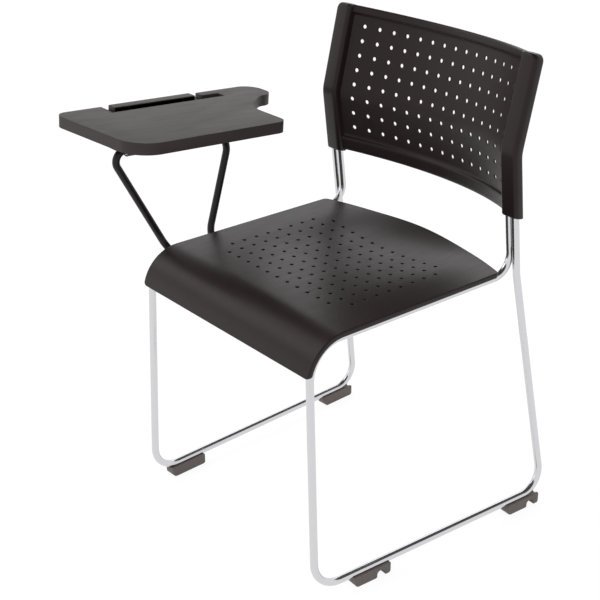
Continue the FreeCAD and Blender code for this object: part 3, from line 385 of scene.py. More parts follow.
def smoothTable(table, value):
    # a smooth curve through (place, height) pairs
    for index, ((x0, y0), (x1, y1)) in enumerate(zip(table, table[1:])):
        if value <= x1 or index == len(table) - 2:
            break
    before = table[max(index - 1, 0)]
    after = table[min(index + 2, len(table) - 1)]
    span = x1 - x0
    slope0 = (y1 - before[1]) / (x1 - before[0])
    slope1 = (after[1] - y0) / (after[0] - x0)
    t = (value - x0) / span
    return ((2 * t ** 3 - 3 * t ** 2 + 1) * y0 + (t ** 3 - 2 * t ** 2 + t) * span * slope0
            + (3 * t ** 2 - 2 * t ** 3) * y1 + (t ** 3 - t ** 2) * span * slope1)


def easeStep(value):
    value = min(max(value, 0), 1)
    return value * value * (3 - 2 * value)


# side frames and crossbars

rod = {"diameter": 12.7, "pairGap": 0.4}
rodRadius = rod["diameter"] / 2
seatPlace = {"height": 458, "thickness": 6, "gap": 0.6}
railHeight = seatPlace["height"] - seatPlace["thickness"] - seatPlace["gap"] - rodRadius
sideFrame = {"railSpread": 204, "frontReach": 250, "frontFootSpread": 223.5, "frontFootReach": 253,
             "rearFootSpread": 250.7, "rearReach": 249, "soleThickness": 16, "uprightSpread": 219.1,
             "uprightBase": 177, "uprightTopReach": 152, "uprightTopHeight": 643,
             "bends": {"railRear": 34, "knee": 58, "frontFloor": 50, "rearFloor": 40, "upright": 110},
             "weldAboveRail": 26}
weldBead = {"length": 26, "steps": 24, "sides": 12, "halfWidth": 3.4, "halfDepth": 1.9, "offset": 2.2,
            "ripples": 6, "ripple": 0.16, "endShare": 0.06, "bluntness": 6}
innerSpread = sideFrame["uprightSpread"] - rod["diameter"] - rod["pairGap"]
runnerHeight = sideFrame["soleThickness"] + rodRadius
uprightBase = Vector((0, sideFrame["uprightBase"], railHeight))
uprightTop = Vector((0, sideFrame["uprightTopReach"], sideFrame["uprightTopHeight"]))
uprightLine = (uprightTop - uprightBase).normalized()

for side, sign in (("left", 1), ("right", -1)):
    inner = Vector((sign * innerSpread, 0, 0))
    outer = Vector((sign * sideFrame["uprightSpread"], 0, 0))
    corners = [
        uprightTop + inner,
        uprightBase + inner,
        Vector((sign * sideFrame["railSpread"], -sideFrame["frontReach"], railHeight)),
        Vector((sign * sideFrame["frontFootSpread"], -sideFrame["frontFootReach"], runnerHeight)),
        Vector((sign * sideFrame["rearFootSpread"], sideFrame["rearReach"], runnerHeight)),
        uprightBase + outer,
        uprightTop + outer,
    ]
    bm = bmesh.new()
    skin(bm, rodRings(bentLine(corners, sideFrame["bends"].values()), rodRadius))
    makePiece(f"{side}SideRod", "chair", chrome, bm, f"{side}_side_rod")

    # the bead that joins the two ends of the rod, laid front and back in the groove between them
    bead = bmesh.new()
    rearward = Vector((0, uprightLine.z, -uprightLine.y))
    middle = uprightBase + (inner + outer) / 2 + uprightLine * (sideFrame["weldAboveRail"] / uprightLine.z)
    for face in (-1, 1):
        rings = []
        for step in range(weldBead["steps"] + 1):
            share = step / weldBead["steps"]
            wave = 1 - weldBead["ripple"] * math.cos(math.tau * share * weldBead["ripples"])
            taper = math.sqrt(max(weldBead["endShare"], 1 - (2 * share - 1) ** weldBead["bluntness"]))
            centre = middle + uprightLine * (share * weldBead["length"])
            centre += rearward * (face * weldBead["offset"])
            ring = []
            for turn in range(weldBead["sides"]):
                angle = math.tau * turn / weldBead["sides"]
                reach = rearward * (weldBead["halfDepth"] * math.sin(angle))
                reach.x = weldBead["halfWidth"] * math.cos(angle)
                ring.append(centre + reach * wave * taper)
            rings.append(ring)
        skin(bead, rings)
    makePiece(f"{side}WeldBead", "chair", burntWeld, bead, f"{side}_upright_weld")

crossbar = {"drop": 19, "run": 24, "shoulder": 18, "radius": 20, "front": -143, "rear": 122, "weld": 3,
            "bite": 0.6, "weldInset": 0.3, "endChamfer": 0.1}
barLow = railHeight - crossbar["drop"]
shoulder = sideFrame["railSpread"] - crossbar["shoulder"]
# the rails are not quite parallel, so each bar ends at the side of its own stretch of rail
railDrift = (innerSpread - sideFrame["railSpread"]) / (sideFrame["uprightBase"] + sideFrame["frontReach"])
for end in ("front", "rear"):
    reach = crossbar[end]
    railSide = sideFrame["railSpread"] + railDrift * (reach + sideFrame["frontReach"])
    half = [Vector((railSide - rodRadius + crossbar["bite"], reach, railHeight)),
            Vector((shoulder, reach, railHeight)), Vector((shoulder - crossbar["run"], reach, barLow))]
    corners = half + [Vector((-point.x, point.y, point.z)) for point in half[::-1]]
    line = bentLine(corners, [crossbar["radius"]] * 4)
    bm = bmesh.new()
    skin(bm, rodRings(line, rodRadius, chamfer=crossbar["endChamfer"]))
    for sign in (1, -1):
        weldPlace = Vector((sign * (railSide - rodRadius + crossbar["weldInset"]), reach, railHeight))
        collar(bm, weldPlace, Vector((-sign, 0, 0)), rodRadius - crossbar["bite"], crossbar["weld"])
    makePiece(f"{end}Crossbar", "chair", chrome, bm, f"{end}_crossbar")
print("side frames and crossbars bent")


# the tablet's support rod

support = {"axisSide": 250, "axisReach": 150, "tabletHeight": 653, "tilt": 3.8, "tabletThickness": 20,
           "bushFit": 0.05, "bushWall": 2, "plateThickness": 3, "frontLead": 143, "rearLead": 102,
           "frontFoot": 33, "rearFoot": 47, "endInset": 75, "endChamfer": 1.2,
           "bottomBend": 33, "frontBend": 18, "rearBend": 30}
bushRadius = rodRadius + support["bushFit"] + support["bushWall"]
underside = bushRadius + support["plateThickness"]
tilt = math.radians(support["tilt"])
axisMiddle = Vector((-support["axisSide"], -support["axisReach"],
                     support["tabletHeight"] - (underside + support["tabletThickness"]) * math.cos(tilt)))
tabletTurn = Matrix.Rotation(-tilt, 3, "X")


def onTablet(x, y, z):
    # a point of the tablet's own frame, whose Y runs along the hinge
    return axisMiddle + tabletTurn @ Vector((x, y, z))


frontFoot = -support["axisReach"] - support["frontFoot"]
rearFoot = -support["axisReach"] + support["rearFoot"]
corners = [
    Vector((-support["endInset"], frontFoot, barLow)),
    Vector((-support["axisSide"], frontFoot, barLow)),
    onTablet(0, -support["frontLead"], 0),
    onTablet(0, support["rearLead"], 0),
    Vector((-support["axisSide"], rearFoot, barLow)),
    Vector((-support["endInset"], rearFoot, barLow)),
]
bends = [support[bend] for bend in ("bottomBend", "frontBend", "rearBend", "bottomBend")]
bm = bmesh.new()
skin(bm, rodRings(bentLine(corners, bends), rodRadius, chamfer=support["endChamfer"]))
makePiece("tabletSupportRod", "chair", blackCoat, bm, "tablet_support_rod")
print("support rod bent")


# seat shell

seat = {"width": 431, "rimWidth": 2.4, "rimDrop": 2.5, "lipDrop": 0.4, "rimFade": 4, "edgeRound": 1.6,
        "underRound": 0.8, "rearCorner": 139, "rearBulge": 38, "overrun": 22, "cornerRadius": 7,
        "dish": 13, "fallShare": 0.88, "pitch": 25.4, "columns": 13, "rows": 10, "fieldFront": 146,
        "holeRadius": 3.0, "sideCells": 7, "fallCells": 16, "frontCells": 5, "rearCells": 9}
# the share of the dish's depth across the seat, from side to side, and along it, from the knee back
crossTable = ((-1, 0), (-0.7, 0.12), (-0.35, 0.72), (0, 1), (0.35, 0.72), (0.7, 0.12), (1, 0))
dishTable = ((0, 0), (0.03, 0), (0.12, 0.04), (0.26, 0.2), (0.42, 0.55), (0.58, 0.87), (0.72, 1),
             (0.83, 0.75), (0.92, 0.1), (1, -0.85))
# grid steps along each side of the square cell that holds one perforation
cell = 4
# the rounded rim of a hole: how far outside the hole and how deep each ring of it lies
holeRim = ((1.8, 0), (0.55, 0), (0.15, 0.15), (0, 0.5))
kneeReach = -sideFrame["frontReach"] + sideFrame["bends"]["knee"]
kneeHeight = railHeight - sideFrame["bends"]["knee"]
fallRadius = seatPlace["height"] - kneeHeight
flatLength = seat["rearCorner"] + seat["rearBulge"] + seat["overrun"] - kneeReach
seatHalf = seat["width"] / 2
bowRadius = (seatHalf ** 2 + seat["rearBulge"] ** 2) / (2 * seat["rearBulge"])


def seatPoint(x, y, depth):
    # a point that deep under the seat's top face; before the knee, y is measured round the fall
    if y < kneeReach:
        angle = (kneeReach - y) / fallRadius
        return Vector((x, kneeReach - math.sin(angle) * (fallRadius - depth),
                       kneeHeight + math.cos(angle) * (fallRadius - depth)))
    sink = smoothTable(crossTable, x / seatHalf) * smoothTable(dishTable, (y - kneeReach) / flatLength)
    return Vector((x, y, seatPlace["height"] - seat["dish"] * sink - depth))


def seatRear(x):
    return seat["rearCorner"] + seat["rearBulge"] - bowRadius + math.sqrt(bowRadius ** 2 - x ** 2)


def perforatedSheet(bm, columns, rows, plan, point, thickness, holes, holeRadius, edge):
    # two skins of a moulded sheet, joined round every perforation and along the outer edge;
    # each hole is a cell of the grid whose inner points and faces are left out
    gone = {(i + a, j + b) for i, j in holes for a in range(1, cell) for b in range(1, cell)}
    opened = {(i + a, j + b) for i, j in holes for a in range(cell) for b in range(cell)}
    skins = []
    for under in (False, True):
        sheet = {}
        for i in range(columns):
            for j in range(rows):
                if (i, j) not in gone:
                    x, y = plan(i, j)
                    sheet[i, j] = bm.verts.new(point(x, y, thickness(x, y) if under else 0))
        for i in range(columns - 1):
            for j in range(rows - 1):
                if (i, j) not in opened:
                    bm.faces.new((sheet[i, j], sheet[i + 1, j], sheet[i + 1, j + 1], sheet[i, j + 1]))
        skins.append(sheet)
    # a hole's ring starts at the same corner as the loop of grid points round its cell
    angles = [math.radians(225 + 360 / (4 * cell) * step) for step in range(4 * cell)]
    for i, j in holes:
        loop = [(i + a, j) for a in range(cell)] + [(i + cell, j + a) for a in range(cell)]
        loop += [(i + cell - a, j + cell) for a in range(cell)] + [(i, j + cell - a) for a in range(cell)]
        x, y = plan(i + cell // 2, j + cell // 2)
        depth = thickness(x, y)
        rings = [[skins[0][key] for key in loop]]
        for grow, down in holeRim + tuple((grow, depth - down) for grow, down in holeRim[::-1]):
            reach = holeRadius + grow
            ring = []
            for angle in angles:
                spot = point(x + reach * math.cos(angle), y + reach * math.sin(angle), down)
                ring.append(bm.verts.new(spot))
            rings.append(ring)
        rings.append([skins[1][key] for key in loop])
        joinRings(bm, rings)
    border = [(i, 0) for i in range(columns - 1)] + [(columns - 1, j) for j in range(rows - 1)]
    border += [(i, rows - 1) for i in range(columns - 1, 0, -1)] + [(0, j) for j in range(rows - 1, 0, -1)]
    places = [plan(*key) for key in border]
    rings = [[skins[0][key] for key in border]]
    lines = []
    for index, (x, y) in enumerate(places):
        before, after = places[index - 1], places[(index + 1) % len(places)]
        out = Vector((after[1] - before[1], before[0] - after[0])).normalized()
        lines.append([point(x + out.x * grow, y + out.y * grow, down) for grow, down in edge(x, y, out)])
    rings += [[bm.verts.new(line[step]) for line in lines] for step in range(len(lines[0]))]
    rings.append([skins[1][key] for key in border])
    joinRings(bm, rings)


def seatEdge(x, y, out):
    # the profile round the seat's edge: a rounded top corner, the side and a lip under it,
    # which is deepest at the two sides
    drop = seat["lipDrop"] + (seat["rimDrop"] - seat["lipDrop"]) * abs(out.x) ** seat["rimFade"]
    depth = seatPlace["thickness"] + drop
    rounded = seat["edgeRound"]
    under = seat["underRound"]
    profile = []
    for angle in (math.radians(degrees) for degrees in (30, 60, 90)):
        profile.append((rounded * math.sin(angle), rounded * (1 - math.cos(angle))))
    for angle in (math.radians(degrees) for degrees in (0, 45, 90)):
        profile.append((rounded - under + under * math.cos(angle), depth - under + under * math.sin(angle)))
    return profile + [(rounded - seat["rimWidth"], depth)]


subPitch = seat["pitch"] / cell
fieldHalf = seat["columns"] * seat["pitch"] / 2
fieldFront = -seat["fieldFront"] - seat["pitch"] / 2
fieldRear = fieldFront + seat["rows"] * seat["pitch"]
innerHalf = seatHalf - seat["edgeRound"]
cornerRound = seat["cornerRadius"] - seat["edgeRound"]
cornerSteps = (0.35, 0.65, 0.87, 1)
sideRun = innerHalf - cornerRound - fieldHalf
sideSteps = [sideRun * step / seat["sideCells"] for step in range(1, seat["sideCells"] + 1)]
sideSteps += [sideRun + cornerRound * step for step in cornerSteps]
columns = [-fieldHalf - step for step in sideSteps[::-1]]
columns += [-fieldHalf + subPitch * step for step in range(seat["columns"] * cell + 1)]
columns += [fieldHalf + step for step in sideSteps]
frontEnd = kneeReach - seat["fallShare"] * math.pi / 2 * fallRadius + seat["edgeRound"] + cornerRound
# each row: a place, its share of the way to the rear edge, and how far it is into a corner
rows = [(frontEnd, 0, -step) for step in cornerSteps[::-1]]
for step in range(seat["fallCells"] + 1):
    rows.append((frontEnd + (kneeReach - frontEnd) * step / seat["fallCells"], 0, 0))
for step in range(1, seat["frontCells"]):
    rows.append((kneeReach + (fieldFront - kneeReach) * step / seat["frontCells"], 0, 0))
firstRow = len(rows)
rows += [(fieldFront + subPitch * step, 0, 0) for step in range(seat["rows"] * cell + 1)]
rows += [(fieldRear, step / seat["rearCells"], 0) for step in range(1, seat["rearCells"] + 1)]
rows += [(fieldRear, 1, step) for step in cornerSteps]


def seatPlan(i, j):
    x = columns[i]
    start, share, corner = rows[j]
    y = start + share * (seatRear(x) - seat["edgeRound"] - cornerRound - fieldRear)
    side = max(0, (abs(x) - innerHalf + cornerRound) / cornerRound)
    if side > 0:
        x = math.copysign(innerHalf - cornerRound + cornerRound * side * math.sqrt(1 - corner ** 2 / 2), x)
    return x, y + cornerRound * corner * math.sqrt(1 - side ** 2 / 2)


holes = []
for column in range(seat["columns"]):
    for row in range(seat["rows"]):
        # the four corners of the field have no hole
        if column not in (0, seat["columns"] - 1) or row not in (0, seat["rows"] - 1):
            holes.append((len(sideSteps) + cell * column, firstRow + cell * row))
bm = bmesh.new()
perforatedSheet(bm, len(columns), len(rows), seatPlan, seatPoint, lambda x, y: seatPlace["thickness"],
                holes, seat["holeRadius"], seatEdge)

# screw bosses under the pan, over the four tabs
tab = {"length": 26, "thickness": 3, "front": -112, "rear": 88}
boss = {"radius": 8, "chamfer": 0.6, "straight": 3.4, "flare": 1, "sides": 28}
tabSide = sideFrame["railSpread"] - rodRadius - tab["length"] / 2
tabTop = railHeight + tab["thickness"] / 2
for end in ("front", "rear"):
    for sign in (1, -1):
        top = seatPoint(sign * tabSide, tab[end], seatPlace["thickness"] / 2).z
        profile = [(boss["radius"] - boss["chamfer"], 0), (boss["radius"], boss["chamfer"]),
                   (boss["radius"], boss["straight"]), (boss["radius"] + boss["flare"], top - tabTop)]
        turned(bm, Vector((sign * tabSide, tab[end], tabTop)), up, profile, boss["sides"])
makePiece("seatShell", "chair", shellPlastic, bm, "seat_shell")
print("seat shell moulded")


# back shell

back = {"kinkRise": 15.7, "lean": 13, "bow": 56, "panelWidth": 392, "border": 7.5, "recess": 4,
        "upper": 155, "lower": 107, "topBorder": 14, "bottomBorder": 26, "ramp": 5, "edgeRound": 3,
        "kinkRound": 9, "pitch": 25.4, "lowerPitch": 27, "columns": 15, "upperRows": 5, "lowerRows": 3,
        "firstRow": 20, "holeRadius": 3.5, "rampCells": 4, "bottomCells": 4, "topCells": 3}
sleeve = {"width": 34, "depth": 22, "drop": 4, "round": 7, "topCorner": 12, "endRound": 2.5, "lap": 4,
          "bendStart": 60, "leastFlat": 0.5, "quarterSteps": 6}
lean = math.radians(back["lean"])
upSlope = Vector((0, math.sin(lean), math.cos(lean)))
rearWay = Vector((0, math.cos(lean), -math.sin(lean)))
downSlope = -uprightLine
slopeScale = 1 / uprightLine.z
kink = uprightTop + uprightLine * (back["kinkRise"] * slopeScale)
panelHalf = back["panelWidth"] / 2
panelRadius = (panelHalf ** 2 + back["bow"] ** 2) / (2 * back["bow"])


def backLine(height):
    # up the back from the kink, which is eased over a short stretch
    reach = back["kinkRound"]
    if abs(height) >= reach:
        return kink + (upSlope if height > 0 else downSlope) * abs(height)
    above = (height + reach) ** 2 / (4 * reach)
    below = (reach - height) ** 2 / (4 * reach)
    return kink + upSlope * above + downSlope * below


recessTop = back["upper"] - back["topBorder"]
recessBottom = -(back["lower"] - back["bottomBorder"]) * slopeScale


def recess(height):
    above = easeStep((recessTop + back["ramp"] / 2 - height) / back["ramp"])
    below = easeStep((height - recessBottom + back["ramp"] / 2) / back["ramp"])
    return back["recess"] * above * below


def backPoint(x, height, depth):
    radius = panelRadius + recess(height) + depth
    inward = back["bow"] - panelRadius + math.sqrt(radius ** 2 - x ** 2)
    return backLine(height) + Vector((x, 0, 0)) + rearWay * inward


def backEdge(x, height, out):
    rounded = back["edgeRound"]
    turns = [math.radians(a) for a in (30, 60, 90)]
    front = [(rounded * math.sin(a), rounded * (1 - math.cos(a))) for a in turns]
    return front + [(grow, back["border"] - down) for grow, down in front[::-1]]


pitch = back["pitch"]
lowestHole = -(pitch - back["firstRow"]) * slopeScale
lowerRows = [lowestHole - back["lowerPitch"] * slopeScale * row for row in range(back["lowerRows"])]
upperRows = [back["firstRow"] + pitch * row for row in range(back["upperRows"])]
centres = lowerRows[::-1] + upperRows
walls = [centres[0] - (centres[1] - centres[0]) / 2]
walls += [(low + high) / 2 for low, high in zip(centres, centres[1:])] + [centres[-1] + pitch / 2]
# one cell of grid steps for every row of holes
levels = []
for low, centre, high in zip(walls, centres, walls[1:]):
    levels += [low, (low + centre) / 2, centre, (centre + high) / 2]
levels.append(walls[-1])
bottomEdge = -back["lower"] * slopeScale + back["edgeRound"]
topEdge = back["upper"] - back["edgeRound"]
rampSteps = [back["ramp"] * (step / back["rampCells"] - 0.5) for step in range(back["rampCells"] + 1)]
rampFoot = recessBottom + rampSteps[0]
rampHead = recessTop + rampSteps[-1]
bottomCells, topCells = back["bottomCells"], back["topCells"]
lowLevels = [bottomEdge + (rampFoot - bottomEdge) * step / bottomCells for step in range(bottomCells)]
lowLevels += [recessBottom + step for step in rampSteps]
highLevels = [recessTop + step for step in rampSteps]
highLevels += [rampHead + (topEdge - rampHead) * step / topCells for step in range(1, topCells + 1)]
backRows = lowLevels + levels + highLevels
backFieldHalf = back["columns"] * pitch / 2
backColumns = [-panelHalf - sleeve["lap"], -panelHalf]
firstColumn = len(backColumns)
backColumns += [-backFieldHalf + pitch / cell * step for step in range(back["columns"] * cell + 1)]
backColumns += [panelHalf, panelHalf + sleeve["lap"]]
holes = []
for column in range(back["columns"]):
    holes += [(firstColumn + cell * column, len(lowLevels) + cell * row) for row in range(len(centres))]
bm = bmesh.new()
perforatedSheet(bm, len(backColumns), len(backRows), lambda i, j: (backColumns[i], backRows[j]), backPoint,
                lambda x, height: back["border"] - recess(height), holes, back["holeRadius"], backEdge)


def sleeveRing(sign, height, inner, outer, halfDepth):
    # a rounded rectangle round a pair of rods
    centre = backLine(height)
    radius = min(sleeve["round"], halfDepth - sleeve["leastFlat"], (outer - inner) / 2 - sleeve["leastFlat"])
    left, right, deep = inner + radius, outer - radius, halfDepth - radius
    ring = []
    for turn, x, depth in ((0, right, deep), (90, left, deep), (180, left, -deep), (270, right, -deep)):
        for step in range(sleeve["quarterSteps"] + 1):
            angle = math.radians(turn + 90 / sleeve["quarterSteps"] * step)
            ring.append(centre + Vector((sign * (x + radius * math.cos(angle)), 0, 0))
                        + rearWay * (depth + radius * math.sin(angle)))
    return ring


sleeveBottom = -(back["lower"] + sleeve["drop"]) * slopeScale
sleeveInner, sleeveOuter = panelHalf, panelHalf + sleeve["width"]
sleeveHalf = sleeve["depth"] / 2
ending = sleeve["endRound"]
plainHeights = [-sleeve["bendStart"]] + [back["kinkRound"] * share for share in (-1, -0.5, 0, 0.5, 1)]
plainHeights += [sleeve["bendStart"], back["upper"] - sleeve["topCorner"]]
for sign in (1, -1):
    rings = []
    for angle in (math.radians(degrees) for degrees in (90, 60, 30, 0)):
        inset = ending * (1 - math.cos(angle))
        height = sleeveBottom + ending * (1 - math.sin(angle))
        rings.append(sleeveRing(sign, height, sleeveInner + inset, sleeveOuter - inset, sleeveHalf - inset))
    for height in plainHeights:
        rings.append(sleeveRing(sign, height, sleeveInner, sleeveOuter, sleeveHalf))
    for angle in (math.radians(degrees) for degrees in (15, 30, 45, 60, 72, 82, 90)):
        pull = sleeve["topCorner"] * (1 - math.cos(angle))
        height = back["upper"] - sleeve["topCorner"] * (1 - math.sin(angle))
        nearTop = max(0, ending - (back["upper"] - height))
        inset = ending - math.sqrt(ending ** 2 - nearTop ** 2)
        outer = sleeveOuter - max(pull, inset)
        rings.append(sleeveRing(sign, height, sleeveInner + inset, outer, sleeveHalf - inset))
    skin(bm, rings)
makePiece("backShell", "chair", shellPlastic, bm, "back_shell")
print("back shell moulded")


# feet under the runners; the two at the sitter's left have a hook for the next chair's runner

foot = {"length": 74, "width": 20, "height": 20, "frontRound": 9, "rearRound": 4, "topRound": 2,
        "finger": 12, "slot": 16, "slotHeight": 12, "slotMouth": 3, "slotRound": 6, "edge": 1.3, "fit": 0.3,
        "arcStep": 10, "grooveSides": 36, "grooveShare": 0.6,
        "plainFront": -184, "hookedFront": -142, "rear": 197}
splayShare = sideFrame["rearFootSpread"] - sideFrame["frontFootSpread"]
splayShare /= sideFrame["frontFootReach"] + sideFrame["rearReach"]
for name, node, sign, reach, hooked in (
    ("rightFrontFoot", "right_front_foot", -1, foot["plainFront"], False),
    ("rightRearFoot", "right_rear_foot", -1, foot["rear"], False),
    ("leftFrontHookedFoot", "left_front_hooked_foot", 1, foot["hookedFront"], True),
    ("leftRearHookedFoot", "left_rear_hooked_foot", 1, foot["rear"], True),
):
    half = foot["length"] / 2
    finger = half - foot["finger"]
    outline = [(-half, 0), (half, 0), (half, foot["height"]), (-half, foot["height"])]
    radii = [foot["frontRound"], foot["rearRound"], foot["topRound"], foot["topRound"]]
    if hooked:
        start, roof = finger - foot["slot"], foot["slotHeight"]
        outline[1:1] = [(start, 0), (start, roof), (finger, roof), (finger, 0)]
        radii[1:1] = [foot["slotMouth"], foot["slotRound"], foot["slotRound"], foot["slotMouth"]]
    points = roundedOutline([Vector((-foot["width"] / 2, y, z)) for y, z in outline], radii,
                            foot["arcStep"])
    blank = slab(points, Vector((foot["width"], 0, 0)))
    groove = bmesh.new()
    overrun = foot["grooveShare"] * foot["length"]
    line = [Vector((0, y, runnerHeight)) for y in (-overrun, 0, overrun)]
    skin(groove, rodRings(line, rodRadius + foot["fit"], foot["grooveSides"]))
    bm = carved(blank, [groove])
    bevelSharp(bm, foot["edge"])
    spread = sideFrame["frontFootSpread"] + splayShare * (sideFrame["frontFootReach"] + reach)
    bmesh.ops.rotate(bm, matrix=Matrix.Rotation(-sign * math.atan(splayShare), 3, "Z"), verts=bm.verts)
    bmesh.ops.translate(bm, vec=Vector((sign * spread, reach, 0)), verts=bm.verts)
    makePiece(name, "chair", footPlastic, bm, node)
print("feet fitted")


# writing tablet

tablet = {"outer": 146.5, "inner": 80.5, "frontOuter": 158.1, "frontInner": 140.5, "rear": 163,
          "earLength": 94, "earWidth": 72, "neck": 59, "neckRun": 50, "grooveBorder": 20, "grooveWidth": 21,
          "grooveDepth": 7, "grooveFront": 69, "grooveLength": 236, "notchLength": 15, "notchInset": 3,
          "ledgeLength": 168, "ledgeRise": 1.5, "ledgeEdge": 0.7, "edge": 1.6, "overrun": 6,
          "overcut": 0.5, "arcStep": 5,
          "rounds": {"frontOuter": 20, "frontInner": 52, "rearInner": 18, "elbow": 60, "neck": 24,
                     "earTip": 25, "earOuter": 33}}
thick = support["tabletThickness"]
outer, inner = -tablet["outer"], tablet["inner"]
earSide = outer + tablet["earWidth"]
corners = [(outer, -tablet["frontOuter"]), (inner, -tablet["frontInner"]), (inner, tablet["rear"]),
           (earSide + tablet["neckRun"], tablet["rear"]), (earSide, tablet["rear"] + tablet["neck"]),
           (earSide, tablet["rear"] + tablet["earLength"]), (outer, tablet["rear"] + tablet["earLength"])]
points = roundedOutline([Vector((x, y, 0)) for x, y in corners], list(tablet["rounds"].values()),
                        tablet["arcStep"])
blank = slab(points, Vector((0, 0, thick)))


def block(left, right, front, rear, low, high):
    return slab([Vector((left, front, low)), Vector((right, front, low)), Vector((right, rear, low)),
                 Vector((left, rear, low))], Vector((0, 0, high - low)))


wall = outer + tablet["grooveBorder"]
grooveFloor = thick - tablet["grooveDepth"]
over = tablet["overrun"]
ledgeStart = -tablet["grooveFront"] + tablet["notchInset"] + tablet["notchLength"]
ledgeEnd = ledgeStart + tablet["ledgeLength"]
groove = (-tablet["grooveFront"], tablet["grooveLength"] - tablet["grooveFront"])
cutters = [block(wall, wall + tablet["grooveWidth"], *groove, grooveFloor, thick + over)]
for start in (ledgeStart - tablet["notchLength"], ledgeEnd):
    notch = (start, start + tablet["notchLength"])
    cutters.append(block(outer - over, wall + tablet["overcut"], *notch, grooveFloor, thick + over))
bm = carved(blank, cutters)
bevelSharp(bm, tablet["edge"])
# the raised ledge between the two notches
ledge = block(outer, wall, ledgeStart, ledgeEnd, grooveFloor, thick + tablet["ledgeRise"])
bevelSharp(ledge, tablet["ledgeEdge"])
ledgeMesh = bpy.data.meshes.new("ledge")
ledge.to_mesh(ledgeMesh)
ledge.free()
bm.from_mesh(ledgeMesh)
bpy.data.meshes.remove(ledgeMesh)
for vert in bm.verts:
    vert.co = onTablet(vert.co.x, vert.co.y, vert.co.z + underside)
makePiece("tabletTop", "tablet", tabletSkin, bm, "tablet_top")
print("tablet top moulded")


# fasteners

def panScrew(bm, base, axis, head, shankRadius, shankLength):
    # a domed head with a hexagon socket, and its shank behind it; axis points from the tip to the head
    height, socket = head["height"], head["socket"]
    profile = [(shankRadius - head["tip"], -shankLength), (shankRadius, head["tipLength"] - shankLength),
               (shankRadius, 0), (head["radius"] - head["rim"], 0)]
    for angle in (math.radians(degrees) for degrees in (0, 25, 50)):
        dome = head["sideShare"] + (1 - head["sideShare"]) * math.sin(angle)
        profile.append((head["radius"] * math.cos(angle), height * dome))
    profile += [(socket, height, socket), (socket, height * head["sideShare"], socket)]
    turned(bm, base, axis, profile)


screwHead = {"radius": 4.5, "height": 2.4, "rim": 0.2, "sideShare": 0.35, "socket": 4.275, "tip": 0.5,
             "tipLength": 0.6}
screws = {"shankRadius": 2, "seatGrip": 6.5, "lockRadius": 2.5, "lockDrop": 40, "lockGap": 0.3,
          "tabletGrip": 11, "endSide": 17, "endFront": 120, "endRear": 100, "saddleFront": 98,
          "saddleRear": 48, "saddleWall": 2.5, "flange": 12}
bm = bmesh.new()
for end in ("front", "rear"):
    for sign in (1, -1):
        base = Vector((sign * tabSide, tab[end], railHeight - tab["thickness"] / 2))
        panScrew(bm, base, -up, screwHead, screws["shankRadius"], tab["thickness"] + screws["seatGrip"])
makePiece("seatScrews", "chair", zinc, bm, "seat_screws")

wallNormal = Vector((0, uprightLine.z, -uprightLine.y))
wallDistance = sleeveHalf * rearWay.dot(wallNormal)
lockPlace = uprightTop - uprightLine * (screws["lockDrop"] * slopeScale) + wallNormal * wallDistance
bm = bmesh.new()
for sign in (1, -1):
    base = lockPlace + Vector((sign * innerSpread, 0, 0))
    panScrew(bm, base, wallNormal, screwHead, screws["lockRadius"],
             wallDistance - rodRadius - screws["lockGap"])
makePiece("backLockScrews", "chair", zinc, bm, "back_lock_screws")

saddleSide = bushRadius + screws["saddleWall"] + screws["flange"] / 2
places = [(-screws["endSide"], reach, bushRadius) for reach in (-screws["endFront"], screws["endRear"])]
for reach in (-screws["saddleFront"], screws["saddleRear"]):
    places += [(side, reach, bushRadius - screws["saddleWall"]) for side in (saddleSide, -saddleSide)]
bm = bmesh.new()
for x, y, z in places:
    panScrew(bm, onTablet(x, y, z), tabletTurn @ -up, screwHead, screws["shankRadius"],
             underside - z + screws["tabletGrip"])
makePiece("tabletScrews", "tablet", zinc, bm, "tablet_screws")

clamp = {"thickness": 6, "bite": 2, "outer": -142, "inner": -92, "middle": -143, "spacing": 40}
bolt = {"radius": 3, "corners": 11.5, "head": 4, "nut": 5, "flatChamfer": 0.55, "chamfer": 0.5,
        "endChamfer": 0.6, "threadGap": 0.1, "mouth": 0.4, "mouthDepth": 0.3}
clampBottom = barLow - rodRadius + clamp["bite"] - clamp["thickness"]
clampTop = barLow + rodRadius - clamp["bite"] + clamp["thickness"]
nutTop = clampTop + bolt["nut"]
headFoot = clampBottom - bolt["head"]
corners = bolt["corners"]
wide = corners / 2
small = wide - bolt["flatChamfer"]
inside = bolt["radius"] + bolt["threadGap"]
mouth = inside + bolt["mouth"]
boltProfile = [(small, headFoot, corners), (wide, headFoot + bolt["chamfer"], corners),
               (wide, clampBottom, corners), (bolt["radius"], clampBottom),
               (bolt["radius"], nutTop - bolt["endChamfer"]), (bolt["radius"] - bolt["endChamfer"], nutTop)]
nutProfile = [(inside, clampTop + bolt["mouthDepth"]), (mouth, clampTop), (wide, clampTop, corners),
              (wide, nutTop - bolt["chamfer"], corners), (small, nutTop, corners), (mouth, nutTop),
              (inside, nutTop - bolt["mouthDepth"])]
bolts = bmesh.new()
nuts = bmesh.new()
for x in (clamp["outer"], clamp["inner"]):
    for share in (-0.5, 0.5):
        base = Vector((x, clamp["middle"] + share * clamp["spacing"], 0))
        turned(bolts, base, up, boltProfile)
        rings = [[nuts.verts.new(point) for point in ring]
                 for ring in turnedRings(base, up, Vector((1, 0, 0)), nutProfile)]
        joinRings(nuts, rings + rings[:1])
makePiece("clampBolts", "chair", zinc, bolts, "clamp_bolts")
makePiece("clampNuts", "chair", zinc, nuts, "clamp_nuts")
print("screws, bolts and nuts fitted")


# camera, floor and light

